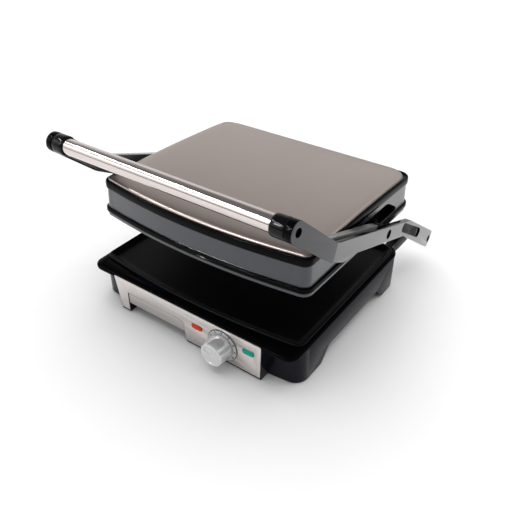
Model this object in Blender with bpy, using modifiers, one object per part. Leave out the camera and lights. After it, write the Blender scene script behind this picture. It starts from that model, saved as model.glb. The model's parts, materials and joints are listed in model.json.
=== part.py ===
"""Panini press: a base with a flat grill plate, and a floating lid carried by two arms and a bar handle.

Metres, +Z up, +Y to the rear. The press stands on z = 0 and its box is centred on x = y = 0.
The base is built from the front face of its control panel, the arms from the rear hinge axis with
their beams level, and the lid from its pivot axis with its grill plate level.
"""

import math

import bmesh
import bpy
from mathutils import Matrix, Vector

# Frames. Distances along y in the base frame start at the panel's front face.
PANEL_Y = -0.1700
HINGE_Y = 0.3554
HINGE_Z = 0.0470
BEAM_RISE = math.radians(20.0)
LID_TILT = math.radians(1.41)

# Base housing
BASE_HALF = 0.1703
WALL = 0.0026
WALL_BOTTOM = 0.0015
WALL_FRONT = 0.0105
WALL_REAR = 0.2890
DECK_LOW = 0.0516
DECK_TOP = 0.0584
BOX_FRONT = 0.0009
ARCH_TOP = 0.0215
GAP = 0.0003

# Grill plates
PLATE_HALF = 0.1658
PLATE_FRONT = 0.0127
PLATE_REAR = 0.2820
PLATE_BOW = 0.0118
LIP_TOP = 0.0616

# Control panel and drip tray
PANEL_THICK = 0.0008
KNOB_X = 0.0660
KNOB_Z = 0.0292
LENS_HALF = 0.0087
LENS_RADIUS = 0.0035
POWER_LENS = (0.0236, 0.0365)
READY_LENS = (0.1057, 0.0377)

# Arms, handle and hinge, from the hinge axis with the beam level
ARM_OUTER = 0.1867
ARM_INNER = 0.1780
BEAM_TOP = 0.0421
BEAM_BOTTOM = 0.0209
FRONT_BEND_Y = -0.3357
REAR_BEND_Y = -0.1107
LINK_SLOPE = math.radians(21.7)
LEG_SLOPE = math.radians(15.5)
LEG_HALF = 0.0133
HANDLE_AXIS = (-0.4159, 0.0615)
HANDLE_END_RADIUS = 0.0125
LINK_INSET = 0.0087
TUBE_RADIUS = 0.0101
TUBE_HALF = 0.1645
PIVOT = (-0.1839, 0.0315)
SLOT_CENTRE = (-0.0960, 0.0258)
SLOT_SLOPE = math.radians(13.0)
SLOT_LENGTH = 0.0840
SLOT_WIDTH = 0.0140

# Lid, from its pivot axis with the grill plate level
LID_HALF = 0.1660
LID_FRONT = -0.1735
LID_REAR = 0.1165
LID_BOW = 0.0140
LID_BOTTOM = -0.0171
# Corner radii in plan, front and rear, of the lid's housing and of its cover
LID_RADII = (0.0150, 0.0200)
COVER_RADII = (0.0160, 0.0340)
# How far the lid's top arches from front to rear, and the wall heights between which that builds up
CROWN = 0.0035
CROWN_FROM = 0.0126
CROWN_TO = 0.0392

PARTS = None
CUTTERS = None
FRAMES = {}
MATERIALS = {}


# ---------------------------------------------------------------- helpers


def clear_scene():
    for item in list(bpy.data.objects):
        bpy.data.objects.remove(item, do_unlink=True)


def make_collection(name):
    made = bpy.data.collections.new(name)
    bpy.context.scene.collection.children.link(made)
    return made


def material(name, colour, roughness, metallic=0.0):
    made = bpy.data.materials.new(name)
    made.use_nodes = True
    shader = made.node_tree.nodes["Principled BSDF"]
    shader.inputs["Base Color"].default_value = (*colour, 1.0)
    shader.inputs["Roughness"].default_value = roughness
    shader.inputs["Metallic"].default_value = metallic
    MATERIALS[name] = made


def frame(name, parent, location, tilt=0.0):
    """An empty that carries a group of pieces. A positive tilt raises the group's front."""
    empty = bpy.data.objects.new(name, None)
    empty.location = location
    empty.rotation_euler = (-tilt, 0, 0)
    empty.parent = parent
    PARTS.objects.link(empty)
    FRAMES[name] = empty
    return empty


def add(name, mesh, slot, parent, place=None):
    """A piece, or a cutter when slot is None. A place is a matrix under the parent."""
    made = bpy.data.objects.new(name, mesh)
    made.parent = parent
    if place:
        made.matrix_local = place
    if slot:
        mesh.materials.append(MATERIALS[slot])
        PARTS.objects.link(made)
    else:
        made.hide_render = True
        made.display_type = "WIRE"
        CUTTERS.objects.link(made)
    return made


def mesh_of(name, bm):
    bmesh.ops.recalc_face_normals(bm, faces=bm.faces)
    mesh = bpy.data.meshes.new(name)
    bm.to_mesh(mesh)
    bm.free()
    mesh.shade_smooth()
    mesh.set_sharp_from_angle(angle=math.radians(32))
    return mesh


def box(name, low, high, slot, parent):
    bm = bmesh.new()
    size = Vector(high) - Vector(low)
    middle = (Vector(high) + Vector(low)) / 2
    shape = Matrix.Translation(middle) @ Matrix.Diagonal((*size, 1.0))
    bmesh.ops.create_cube(bm, size=1.0, matrix=shape)
    return add(name, mesh_of(name, bm), slot, parent)


AXIS_TURN = {
    "X": Matrix.Rotation(math.pi / 2, 4, "Y"),
    "-X": Matrix.Rotation(-math.pi / 2, 4, "Y"),
    "-Y": Matrix.Rotation(math.pi / 2, 4, "X"),
    "Y": Matrix.Rotation(-math.pi / 2, 4, "X"),
    "Z": Matrix.Identity(4),
}


def rod(name, axis, centre, start, end, radius, slot, parent, segments=20):
    """A plain cylinder along an axis through centre, from start to end measured along that axis."""
    bm = bmesh.new()
    turn = AXIS_TURN[axis]
    middle = Matrix.Translation((0, 0, (start + end) / 2))
    bmesh.ops.create_cone(
        bm,
        cap_ends=True,
        segments=segments,
        radius1=radius,
        radius2=radius,
        depth=end - start,
        matrix=Matrix.Translation(centre) @ turn @ middle,
    )
    return add(name, mesh_of(name, bm), slot, parent)


def turned(name, axis, centre, profile, slot, parent, steps=20, ring=False):
    """A turned piece. The profile is (radius, height) pairs down its outer side; a ring's closes."""
    bm = bmesh.new()
    points = [bm.verts.new((radius, 0, height)) for radius, height in profile]
    for first, second in zip(points, points[1:]):
        bm.edges.new((first, second))
    if ring:
        bm.edges.new((points[-1], points[0]))
    mesh = bpy.data.meshes.new(name)
    bm.to_mesh(mesh)
    bm.free()
    made = add(name, mesh, slot, parent, Matrix.Translation(centre) @ AXIS_TURN[axis])
    screw = made.modifiers.new("turn", "SCREW")
    screw.steps = steps
    screw.render_steps = steps
    screw.use_merge_vertices = True
    screw.merge_threshold = 0.00001
    screw.use_smooth_shade = True
    return made


def fillet(corners, steps=3, closed=True):
    """Points of an outline whose corners are (x, y) or (x, y, radius)."""
    points = []
    count = len(corners)
    for index, corner in enumerate(corners):
        here = Vector(corner[:2])
        radius = corner[2] if len(corner) > 2 else 0
        if not radius or (not closed and index in (0, count - 1)):
            points.append(tuple(here))
            continue
        back = (Vector(corners[index - 1][:2]) - here).normalized()
        onward = (Vector(corners[(index + 1) % count][:2]) - here).normalized()
        half = back.angle(onward) / 2
        reach = radius / math.tan(half)
        centre = here + (back + onward).normalized() * (radius / math.sin(half))
        first = here + back * reach - centre
        last = here + onward * reach - centre
        sweep = first.angle_signed(last)
        for step in range(steps + 1):
            turn = Matrix.Rotation(-sweep * step / steps, 2)
            points.append(tuple(centre + turn @ first))
    return points


def bowed(half, front, rear, bow, front_radius, rear_radius, corner_steps=4, front_steps=6, side_steps=1):
    """A rounded plan outline whose front edge bulges forward by bow at its middle."""

    def front_y(x):
        return front + bow * (x / half) ** 2

    points = []
    reach = half - front_radius
    for step in range(front_steps + 1):
        x = reach * (2 * step / front_steps - 1)
        points.append((x, front_y(x)))
    corners = (
        (reach, front_y(reach) + front_radius, front_radius, -90),
        (half - rear_radius, rear - rear_radius, rear_radius, 0),
        (rear_radius - half, rear - rear_radius, rear_radius, 90),
        (-reach, front_y(reach) + front_radius, front_radius, 180),
    )
    for x, y, radius, start in corners:
        first = 1 if start == -90 else 0
        last = corner_steps if start == 180 else corner_steps + 1
        for step in range(first, last):
            angle = math.radians(start + 90 * step / corner_steps)
            points.append((x + radius * math.cos(angle), y + radius * math.sin(angle)))
        if start in (-90, 90):
            side, near = points[-1]
            far = rear - rear_radius if start == -90 else front_y(reach) + front_radius
            for step in range(1, side_steps):
                points.append((side, near + (far - near) * step / side_steps))
    return points


def loft(name, rings, slot, parent, shape=None):
    """A solid through rings of (outline, z), capped at both ends."""
    bm = bmesh.new()
    loops = [[bm.verts.new((x, y, z)) for x, y in outline] for outline, z in rings]
    bm.faces.new(loops[0])
    bm.faces.new(loops[-1])
    for lower, upper in zip(loops, loops[1:]):
        count = len(lower)
        for index in range(count):
            after = (index + 1) % count
            bm.faces.new((lower[index], lower[after], upper[after], upper[index]))
    if shape:
        shape(bm)
    return add(name, mesh_of(name, bm), slot, parent)


PLANES = {
    "XY": Matrix.Identity(4),
    "YZ": Matrix(((0, 0, 1, 0), (1, 0, 0, 0), (0, 1, 0, 0), (0, 0, 0, 1))),
    "XZ": Matrix(((1, 0, 0, 0), (0, 0, -1, 0), (0, 1, 0, 0), (0, 0, 0, 1))),
}


def solid_from_curve(curve_object):
    """The closed mesh of a curve, its caps welded and their faces merged. The curve is removed."""
    bpy.context.scene.collection.objects.link(curve_object)
    bpy.context.view_layer.update()
    graph = bpy.context.evaluated_depsgraph_get()
    mesh = bpy.data.meshes.new_from_object(curve_object.evaluated_get(graph))
    curve = curve_object.data
    bpy.data.objects.remove(curve_object, do_unlink=True)
    bpy.data.curves.remove(curve)
    bm = bmesh.new()
    bm.from_mesh(mesh)
    bpy.data.meshes.remove(mesh)
    bmesh.ops.remove_doubles(bm, verts=bm.verts, dist=0.000002)
    bmesh.ops.dissolve_limit(
        bm, angle_limit=math.radians(0.5), verts=bm.verts, edges=bm.edges
    )
    return bm


def prism(name, plane, outline, low, high, slot, parent, shape=None):
    """A flat outline drawn in a plane and thickened from low to high across it."""
    curve = bpy.data.curves.new(name, "CURVE")
    curve.dimensions = "2D"
    curve.fill_mode = "BOTH"
    curve.extrude = (high - low) / 2
    spline = curve.splines.new("POLY")
    spline.points.add(len(outline) - 1)
    for point, (x, y) in zip(spline.points, outline):
        point.co = (x, y, 0, 1)
    spline.use_cyclic_u = True
    bm = solid_from_curve(bpy.data.objects.new(name, curve))
    middle = (low + high) / 2 * (-1 if plane == "XZ" else 1)
    bmesh.ops.transform(
        bm, matrix=PLANES[plane] @ Matrix.Translation((0, 0, middle)), verts=bm.verts
    )
    if shape:
        shape(bm)
    return add(name, mesh_of(name, bm), slot, parent)


def bent_rod(name, points, radius, slot, parent):
    """A round rod along 3D points, as a bevelled curve made into a mesh."""
    curve = bpy.data.curves.new(name, "CURVE")
    curve.dimensions = "3D"
    curve.bevel_depth = radius
    curve.bevel_resolution = 1
    curve.use_fill_caps = True
    spline = curve.splines.new("POLY")
    spline.points.add(len(points) - 1)
    for point, place in zip(spline.points, points):
        point.co = (*place, 1)
    bm = solid_from_curve(bpy.data.objects.new(name, curve))
    return add(name, mesh_of(name, bm), slot, parent)


def combine(target, tool, operation):
    step = target.modifiers.new(f"{operation.lower()}_{tool.name}"[:60], "BOOLEAN")
    step.operation = operation
    step.solver = "EXACT"
    step.object = tool


def cut(target, tool):
    combine(target, tool, "DIFFERENCE")


def join(target, tool):
    combine(target, tool, "UNION")


def soften(target, width, segments=1, angle=40):
    """Rounded edges wherever two faces meet more sharply than angle, in degrees."""
    bevel = target.modifiers.new("edges", "BEVEL")
    bevel.width = width
    bevel.segments = segments
    bevel.limit_method = "ANGLE"
    bevel.angle_limit = math.radians(angle)
    bevel.harden_normals = False


def stadium(x, z, half, radius):
    return fillet(
        [
            (x - half, z - radius, radius * 0.99),
            (x + half, z - radius, radius * 0.99),
            (x + half, z + radius, radius * 0.99),
            (x - half, z + radius, radius * 0.99),
        ]
    )


def plate_outline(inset):
    return bowed(
        PLATE_HALF - inset,
        PLATE_FRONT + inset,
        PLATE_REAR - inset,
        PLATE_BOW,
        max(0.013 - inset, 0.004),
        max(0.018 - inset, 0.004),
    )


def lid_outline(inset, radii):
    return bowed(
        LID_HALF - inset,
        LID_FRONT + inset,
        LID_REAR - inset,
        LID_BOW,
        max(radii[0] - inset, 0.004),
        max(radii[1] - inset, 0.004),
        side_steps=6,
    )


def crowned(bm):
    """Arches the lid's top from front to rear, with less of it further down the walls."""
    middle = (LID_FRONT + LID_REAR) / 2
    reach = (LID_REAR - LID_FRONT) / 2
    for vert in bm.verts:
        share = (vert.co.z - LID_BOTTOM - CROWN_FROM) / (CROWN_TO - CROWN_FROM)
        along = (vert.co.y - middle) / reach
        vert.co.z += CROWN * (1 - along**2) * min(max(share, 0), 1)


def lid_rings(steps, radii=LID_RADII):
    """Rings of the lid from (inset, height above the lid's lower edge) pairs."""
    return [(lid_outline(inset, radii), LID_BOTTOM + height) for inset, height in steps]


# ---------------------------------------------------------------- base

SCREW_PLACES = ((-0.1635, 0.075), (0.1635, 0.075), (-0.1635, 0.235), (0.1635, 0.235))
FOOT_PLACES = ((-0.152, 0.045), (0.152, 0.045), (-0.152, 0.2535), (0.152, 0.2535))
COVER_HIGH = (0.0365, 0.0385)
COVER_LOW = (0.0225, 0.0245)
GLAND = (0.060, 0.0360)
# The tray's way through the front, as (x, z, corner radius) from lower left to lower right
TRAY_GATE = ((-0.1016, 0.0352, 0.0015), (-0.0005, 0.0352, 0.0085))


def tray_gate(spread, low):
    """The drip tray's gate outline, grown by spread on every side and open down to low."""
    left = TRAY_GATE[0][0] - spread
    top = TRAY_GATE[0][1] + spread
    right = TRAY_GATE[1][0] + spread
    lean = (top - low) * 0.104
    return fillet([(left, low), (left, top, 0.0015), (right, top, 0.0085), (right + lean, low)])


def base_cavity(base):
    """The hollow of the base, with the same lean at its rear as the outer wall."""
    outline = bowed(
        BASE_HALF - WALL, WALL_FRONT + WALL, WALL_REAR - WALL, 0.010, 0.0175, 0.0195
    )
    hollow = prism("cavity", "XY", outline, 0.0045, 0.0544, None, base)
    cut(hollow, rear_lean("cavity_lean", -WALL, base))
    return hollow


def rear_lean(name, shift, base):
    """A wedge that makes the base's rear wall lean in towards the floor."""
    profile = [(0.2725, -0.001), (0.2890, DECK_LOW - 0.0001), (0.33, DECK_LOW - 0.0001), (0.33, -0.001)]
    return prism(name, "YZ", [(y + shift, z) for y, z in profile], -0.2, 0.2, None, base)


def base_housing(base):
    wall = bowed(BASE_HALF, WALL_FRONT, WALL_REAR, 0.010, 0.020, 0.022)
    body = prism("base_housing", "XY", wall, WALL_BOTTOM, DECK_LOW + 0.001, "black_gloss", base)
    deck = bowed(BASE_HALF, BOX_FRONT, 0.2905, 0, 0.016, 0.022)
    slab = prism("deck", "XY", deck, DECK_LOW, DECK_TOP, None, base)
    chamfer = [(-0.01, 0.0560), (0.0005, 0.0560), (0.0085, 0.0590), (0.0085, 0.07), (-0.01, 0.07)]
    cut(slab, prism("deck_front_slope", "YZ", chamfer, -0.2, 0.2, None, base))
    box_face = [(-0.1263, 0.0530), (-0.1177, WALL_BOTTOM), (0.1248, WALL_BOTTOM), (0.1263, 0.0530)]
    join(body, prism("control_box", "XZ", box_face, BOX_FRONT, 0.030, None, base))
    cut(body, rear_lean("rear_wall_lean", 0, base))
    join(body, slab)
    ear_profile = fillet(
        [
            (0.2500, 0.0365),
            (0.2500, 0.0560),
            (0.3050, 0.0560, 0.020),
            (0.3300, 0.0600, 0.020),
            (HINGE_Y + 0.0115, 0.0590, 0.0113),
            (HINGE_Y + 0.0115, 0.0350, 0.0113),
            (0.3250, 0.0345, 0.020),
            (0.3000, 0.0365, 0.020),
        ]
    )
    for side, sign in (("left", -1), ("right", 1)):
        low, high = sorted((sign * 0.1440, sign * 0.1560))
        ear = prism(f"hinge_ear_{side}", "YZ", ear_profile, low, high, None, base)
        soften(ear, 0.0020)
        join(body, ear)
        centre = (0, HINGE_Y, HINGE_Z)
        bore = rod(f"hinge_bore_{side}", "X", centre, low - 0.01, high + 0.01, 0.0043, None, base)
        cut(body, bore)
    cut(body, base_cavity(base))
    arch = fillet(
        [(0.0690, -0.01), (0.0690, 0.0014), (0.0880, ARCH_TOP, 0.006), (0.2220, ARCH_TOP, 0.006)]
        + [(0.2410, 0.0014), (0.2410, -0.01)]
    )
    cut(body, prism("side_arch", "YZ", arch, -0.2, 0.2, None, base))
    cut(body, box("floor_opening", (-0.1400, 0.0240, -0.01), (0.1400, 0.2600, 0.0070), None, base))
    cut(body, prism("tray_way", "XZ", tray_gate(0.0006, -0.005), -0.01, 0.035, None, base))
    control_space = [(0.0065, 0.0040), (0.1215, 0.0040), (0.1228, 0.0495), (0.0035, 0.0495)]
    cut(body, prism("control_space", "XZ", control_space, 0.0034, 0.0260, None, base))
    cut(body, prism("plate_seat", "XY", plate_outline(-0.0006), 0.0564, 0.07, None, base))
    cut(body, prism("plate_opening", "XY", plate_outline(0.0074), 0.050, 0.07, None, base))
    spout = [(-0.0955, 0.0128), (-0.0850, 0.0098), (-0.0690, 0.0082), (-0.0530, 0.0088)]
    spout += [(-0.0425, 0.0112), (-0.0425, 0.0200), (-0.0955, 0.0200)]
    cut(body, prism("grease_spout", "XY", spout, 0.0564, 0.07, None, base))
    for index, (x, y) in enumerate(SCREW_PLACES):
        floor = COVER_HIGH[1] if x < 0 else COVER_LOW[1]
        start = floor + GAP
        join(body, rod(f"post_{index}", "Z", (x, y, 0), start, 0.0530, 0.0046, None, base, 10))
        cut(body, rod(f"post_hole_{index}", "Z", (x, y, 0), 0.010, 0.0480, 0.0018, None, base, 8))
    for index, (x, y) in enumerate(FOOT_PLACES):
        cut(body, rod(f"foot_hole_{index}", "Z", (x, y, 0), -0.01, 0.010, 0.0030, None, base, 10))
    for name, (x, z) in (("power", POWER_LENS), ("ready", READY_LENS)):
        outline = stadium(x, z, LENS_HALF + GAP, LENS_RADIUS + GAP)
        cut(body, prism(f"{name}_window", "XZ", outline, -0.01, 0.010, None, base))
    cut(body, rod("shaft_window", "Y", (KNOB_X, 0, KNOB_Z), -0.01, 0.010, 0.0060, None, base, 20))
    cut(body, rod("gland_hole", "Y", (GLAND[0], 0, GLAND[1]), 0.270, 0.300, 0.0060, None, base, 20))
    return body


def bottom_cover(base):
    step = 0.0050
    profile = [
        (-0.1672, COVER_HIGH[0]),
        (step - 0.002, COVER_HIGH[0]),
        (step - 0.002, COVER_LOW[0]),
        (0.1672, COVER_LOW[0]),
        (0.1672, COVER_LOW[1]),
        (step, COVER_LOW[1]),
        (step, COVER_HIGH[1]),
        (-0.1672, COVER_HIGH[1]),
    ]
    cover = prism("bottom_cover", "XZ", profile, 0.0265, 0.2740, "black_satin", base)
    corners = bowed(0.1674, WALL_FRONT + WALL + GAP, 0.2740, 0.010, 0.0172, 0.0150)
    keep = prism("cover_plan", "XY", corners, 0.010, 0.050, None, base)
    combine(cover, keep, "INTERSECT")
    for index, (x, y) in enumerate(SCREW_PLACES):
        cut(cover, rod(f"cover_hole_{index}", "Z", (x, y, 0), 0.015, 0.045, 0.0018, None, base, 8))
        low = COVER_HIGH[0] if x < 0 else COVER_LOW[0]
        head = [
            (0, low + 0.0100),
            (0.0014, low + 0.0100),
            (0.0014, low - GAP),
            (0.0029, low - GAP),
            (0.0029, low - 0.0013),
            (0.0022, low - 0.0019),
            (0, low - 0.0019),
        ]
        side = "left" if x < 0 else "right"
        end = "front" if y < 0.15 else "rear"
        turned(f"cover_screw_{end}_{side}", "Z", (x, y, 0), head, "steel", base, 12)


def feet(base):
    profile = [
        (0, 0.0062),
        (0.0026, 0.0062),
        (0.0026, WALL_BOTTOM - GAP),
        (0.0080, WALL_BOTTOM - GAP),
        (0.0080, 0.0004),
        (0.0076, 0),
        (0, 0),
    ]
    for x, y in FOOT_PLACES:
        side = "left" if x < 0 else "right"
        end = "front" if y < 0.15 else "rear"
        turned(f"foot_{end}_{side}", "Z", (x, y, 0), profile, "rubber", base, 16)


def lower_grill(base):
    steps = (
        (0.0080, 0.0517),
        (0.0080, 0.0567),
        (0.0000, 0.0567),
        (0.0000, 0.0603),
        (0.0010, LIP_TOP),
        (0.0032, LIP_TOP),
        (0.0046, 0.0604),
        (0.0112, 0.0552),
    )
    rings = [(plate_outline(inset), z) for inset, z in steps]
    loft("lower_plate", rings, "non_stick", base)
    element_path = fillet(
        [
            (0.018, 0.262),
            (0.018, 0.238, 0.012),
            (0.128, 0.238, 0.030),
            (0.128, 0.052, 0.030),
            (-0.128, 0.052, 0.030),
            (-0.128, 0.238, 0.030),
            (-0.018, 0.238, 0.012),
            (-0.018, 0.262),
        ],
        closed=False,
    )
    bent_rod("lower_heating_element", [(x, y, 0.0476) for x, y in element_path], 0.0033, "element", base)
    pan = ((0.0192, 0.0405), (0.0122, 0.0470), (0.0130, 0.0470), (0.0200, 0.0413))
    loft("lower_reflector", [(plate_outline(inset), z) for inset, z in pan], "aluminised", base)


def control_panel(base):
    gate = tray_gate(0, 0.0047)
    outline = fillet([(0.1235, 0.0047, 0.001), (0.1250, 0.0559, 0.0022), (-0.1250, 0.0559, 0.001)])
    outline += [(-0.1165, 0.0047), (-0.1016, 0.0047)] + gate[1:]
    panel = prism("control_panel", "XZ", outline, 0, PANEL_THICK, "panel_steel", base)
    for name, (x, z) in (("power", POWER_LENS), ("ready", READY_LENS)):
        hole = stadium(x, z, LENS_HALF + GAP, LENS_RADIUS + GAP)
        cut(panel, prism(f"{name}_panel_hole", "XZ", hole, -0.01, 0.01, None, base))
        shape = stadium(x, z, LENS_HALF, LENS_RADIUS)
        lens = prism(f"{name}_lens", "XZ", shape, -0.0010, 0.0052, f"{name}_lens", base)
        soften(lens, 0.0006)
        case = box(
            f"{name}_lamp",
            (x - 0.0095, 0.0055, z - 0.0050),
            (x + 0.0095, 0.0170, z + 0.0050),
            "lamp_holder",
            base,
        )
        soften(case, 0.0010)
    cut(panel, rod("knob_panel_hole", "Y", (KNOB_X, 0, KNOB_Z), -0.01, 0.01, 0.0050, None, base, 20))
    scale = [(0.0229, 0.0013), (0.0235, 0.0009), (0.0235, 0.0003), (0.0045, 0.0003), (0.0045, 0.0013)]
    turned("dial_scale", "-Y", (KNOB_X, 0, KNOB_Z), scale, "dial_grey", base, 32, ring=True)
    case = box(
        "thermostat",
        (KNOB_X - 0.0140, 0.0040, KNOB_Z - 0.0130),
        (KNOB_X + 0.0140, 0.0180, KNOB_Z + 0.0130),
        "lamp_holder",
        base,
    )
    soften(case, 0.0015)
    cut(case, rod("thermostat_bore", "Y", (KNOB_X, 0, KNOB_Z), 0.001, 0.0110, 0.0034, None, base, 20))


def knob(base):
    axis = frame("knob_axis", base, (KNOB_X, 0, KNOB_Z))
    outer = [(0.0000, 0.0241), (0.0126, 0.0241), (0.0132, 0.0245), (0.0157, 0.0245), (0.0166, 0.0236)]
    outer += [(0.0173, 0.0062), (0.0175, 0.0030), (0.0171, 0.0021), (0.0034, 0.0021), (0.0034, 0.0140)]
    outer += [(0.0000, 0.0140)]
    turned("control_knob", "-Y", (0, 0, 0), outer, "knob_silver", axis, 32)
    shaft = [(0, 0.0135), (0.0026, 0.0135), (0.0030, 0.0131), (0.0030, -0.0100), (0, -0.0100)]
    turned("thermostat_shaft", "-Y", (0, 0, 0), shaft, "steel", axis, 16)


def drip_tray(base):
    slide = frame("tray_slide_axis", base, (0, 0, 0))
    face = fillet(
        [
            (-0.1012, 0.0178, 0.001),
            (-0.1012, 0.0348, 0.0015),
            (-0.0009, 0.0348, 0.0085),
            (0.0009, 0.0178, 0.001),
        ]
    )
    prism("drip_tray_front", "XZ", face, 0.0007, 0.0019, "tray_steel", slide)

    def basin(inset, z):
        outline = fillet(
            [
                (-0.0985 + inset, 0.0022 + inset, 0.006),
                (-0.0065 - inset, 0.0022 + inset, 0.006),
                (-0.0065 - inset, 0.1950 - inset, 0.006),
                (-0.0985 + inset, 0.1950 - inset, 0.006),
            ]
        )
        return outline, z

    steps = (
        (0.0060, 0.0190),
        (0.0046, 0.0318),
        (0.0000, 0.0318),
        (0.0000, 0.0332),
        (0.0058, 0.0332),
        (0.0072, 0.0204),
    )
    loft("drip_tray", [basin(inset, z) for inset, z in steps], "tray_plastic", slide)
    for side, sign in (("left", 1), ("right", -1)):
        edge = -0.1000 if side == "left" else -0.0050
        rail = [
            (edge, 0.0298),
            (edge + sign * 0.0044, 0.0298),
            (edge + sign * 0.0044, 0.0312),
            (edge + sign * 0.0012, 0.0312),
            (edge + sign * 0.0012, 0.0362),
            (edge, 0.0362),
        ]
        prism(f"tray_rail_{side}", "XZ", rail, 0.0360, 0.2300, "galvanised", base)


def rear_fittings(base):
    x, z = GLAND
    gland = [(0.0036, 0.2930), (0.0066, 0.2930), (0.0090, 0.2912), (0.0090, 0.2893)]
    gland += [(0.0056, 0.2893), (0.0056, 0.2790), (0.0036, 0.2790)]
    turned("cord_gland", "Y", (x, 0, z), gland, "black_satin", base, 20, ring=True)
    block = box("terminal_block", (0.020, 0.2320, 0.0249), (0.050, 0.2480, 0.0360), "lamp_holder", base)
    soften(block, 0.0010)
    for index in range(3):
        place = (0.027 + 0.008 * index, 0.240, 0)
        cut(block, rod(f"terminal_{index}", "Z", place, 0.030, 0.040, 0.0022, None, base, 12))


# ---------------------------------------------------------------- arms and handle


def leg_point(along, across):
    """A point of the arm's rear leg, from the hinge axis: along runs rearward, across upward."""
    direction = Vector((math.cos(LEG_SLOPE), -math.sin(LEG_SLOPE)))
    normal = Vector((math.sin(LEG_SLOPE), math.cos(LEG_SLOPE)))
    return tuple(direction * along + normal * across)


def link_point(along, across):
    """A point of the arm's front link, from the handle's axis: along runs down to the bend."""
    direction = Vector((math.cos(LINK_SLOPE), -math.sin(LINK_SLOPE)))
    normal = Vector((math.sin(LINK_SLOPE), math.cos(LINK_SLOPE)))
    return tuple(Vector(HANDLE_AXIS) + direction * along + normal * across)


def arm_outline():
    points = []
    for step in range(11):
        angle = math.pi / 2 - LINK_SLOPE + math.pi * step / 10
        y = HANDLE_AXIS[0] + HANDLE_END_RADIUS * math.cos(angle)
        z = HANDLE_AXIS[1] + HANDLE_END_RADIUS * math.sin(angle)
        points.append((y, z))
    corners = [
        points[-1],
        (-0.3420, 0.0205, 0.030),
        (-0.3060, 0.0145, 0.030),
        (-0.2760, BEAM_BOTTOM, 0.030),
        (-0.1230, BEAM_BOTTOM, 0.030),
        (*leg_point(0.0078, -LEG_HALF), 0.0060),
        (*leg_point(0.0078, LEG_HALF), 0.0060),
        (REAR_BEND_Y, BEAM_TOP, 0.020),
        (FRONT_BEND_Y, BEAM_TOP, 0.025),
        points[0],
    ]
    return points[1:-1] + fillet(corners, steps=4, closed=False)[:-1] + [points[0]]


def inner_outline():
    return fillet(
        [
            link_point(0.0145, 0.0125),
            link_point(0.0145, -0.0100),
            (-0.3440, 0.0235, 0.020),
            (-0.3060, 0.0185, 0.020),
            (-0.2760, BEAM_BOTTOM + 0.0020, 0.020),
            (-0.1960, BEAM_BOTTOM + 0.0020, 0.003),
            (-0.2080, BEAM_TOP + 0.0020, 0.003),
            (FRONT_BEND_Y, BEAM_TOP + 0.0020, 0.020),
        ]
    )


def draw_in(sign):
    """Brings the front link in towards the handle's end, by LINK_INSET at the handle's axis."""

    def shape(bm):
        everything = bm.verts[:] + bm.edges[:] + bm.faces[:]
        bmesh.ops.bisect_plane(
            bm, geom=everything, plane_co=(0, FRONT_BEND_Y, 0), plane_no=(0, 1, 0), dist=0.000001
        )
        slope = LINK_INSET / (FRONT_BEND_Y - HANDLE_AXIS[0])
        for vert in bm.verts:
            ahead = FRONT_BEND_Y - vert.co.y
            if ahead > 0:
                vert.co.x -= sign * min(ahead * slope, LINK_INSET)

    return shape


def arm(side, sign, arms):
    low, high = sorted((sign * ARM_INNER, sign * ARM_OUTER))
    piece = prism(f"arm_{side}", "YZ", arm_outline(), low, high, "black_gloss", arms, draw_in(sign))
    soften(piece, 0.0012)
    axis = "X" if sign > 0 else "-X"
    pivot = (0, *PIVOT)
    cut(piece, rod(f"pivot_hole_{side}", axis, pivot, 0.170, 0.190, 0.0044, None, arms))
    cut(piece, rod(f"pivot_recess_{side}", axis, pivot, 0.1824, 0.190, 0.0064, None, arms))
    cut(piece, rod(f"hinge_hole_{side}", axis, (0, 0, 0), 0.170, 0.190, 0.0044, None, arms))
    cut(piece, rod(f"hinge_recess_{side}", axis, (0, 0, 0), 0.1824, 0.190, 0.0053, None, arms))
    handle = (0, *HANDLE_AXIS)
    cut(piece, rod(f"handle_hole_{side}", axis, handle, 0.160, 0.190, 0.0029, None, arms))
    cut(piece, rod(f"handle_recess_{side}", axis, handle, 0.1740, 0.190, 0.0052, None, arms))
    low, high = sorted((sign * 0.1695, sign * (ARM_INNER - GAP)))
    cover = prism(
        f"arm_cover_{side}", "YZ", inner_outline(), low, high, "black_gloss", arms, draw_in(sign)
    )
    soften(cover, 0.0012)
    return piece


def handle_parts(side, sign, arms):
    axis = "X" if sign > 0 else "-X"
    centre = (0, *HANDLE_AXIS)
    sleeve = [
        (0.0029, 0.1688),
        (0.0112, 0.1688),
        (0.0125, 0.1674),
        (0.0126, 0.1556),
        (0.0124, 0.1520),
        (0.0118, 0.1512),
        (0.0104, 0.1512),
        (0.0104, 0.1650),
        (0.0029, 0.1650),
    ]
    turned(f"handle_cap_{side}", axis, centre, sleeve, "black_gloss", arms, 24, ring=True)
    screw = [(0, 0.1764), (0.0034, 0.1764), (0.0046, 0.1756), (0.0046, 0.1743), (0.0024, 0.1743)]
    screw += [(0.0024, 0.1580), (0, 0.1580)]
    turned(f"handle_screw_{side}", axis, centre, screw, "steel", arms, 14)


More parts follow.
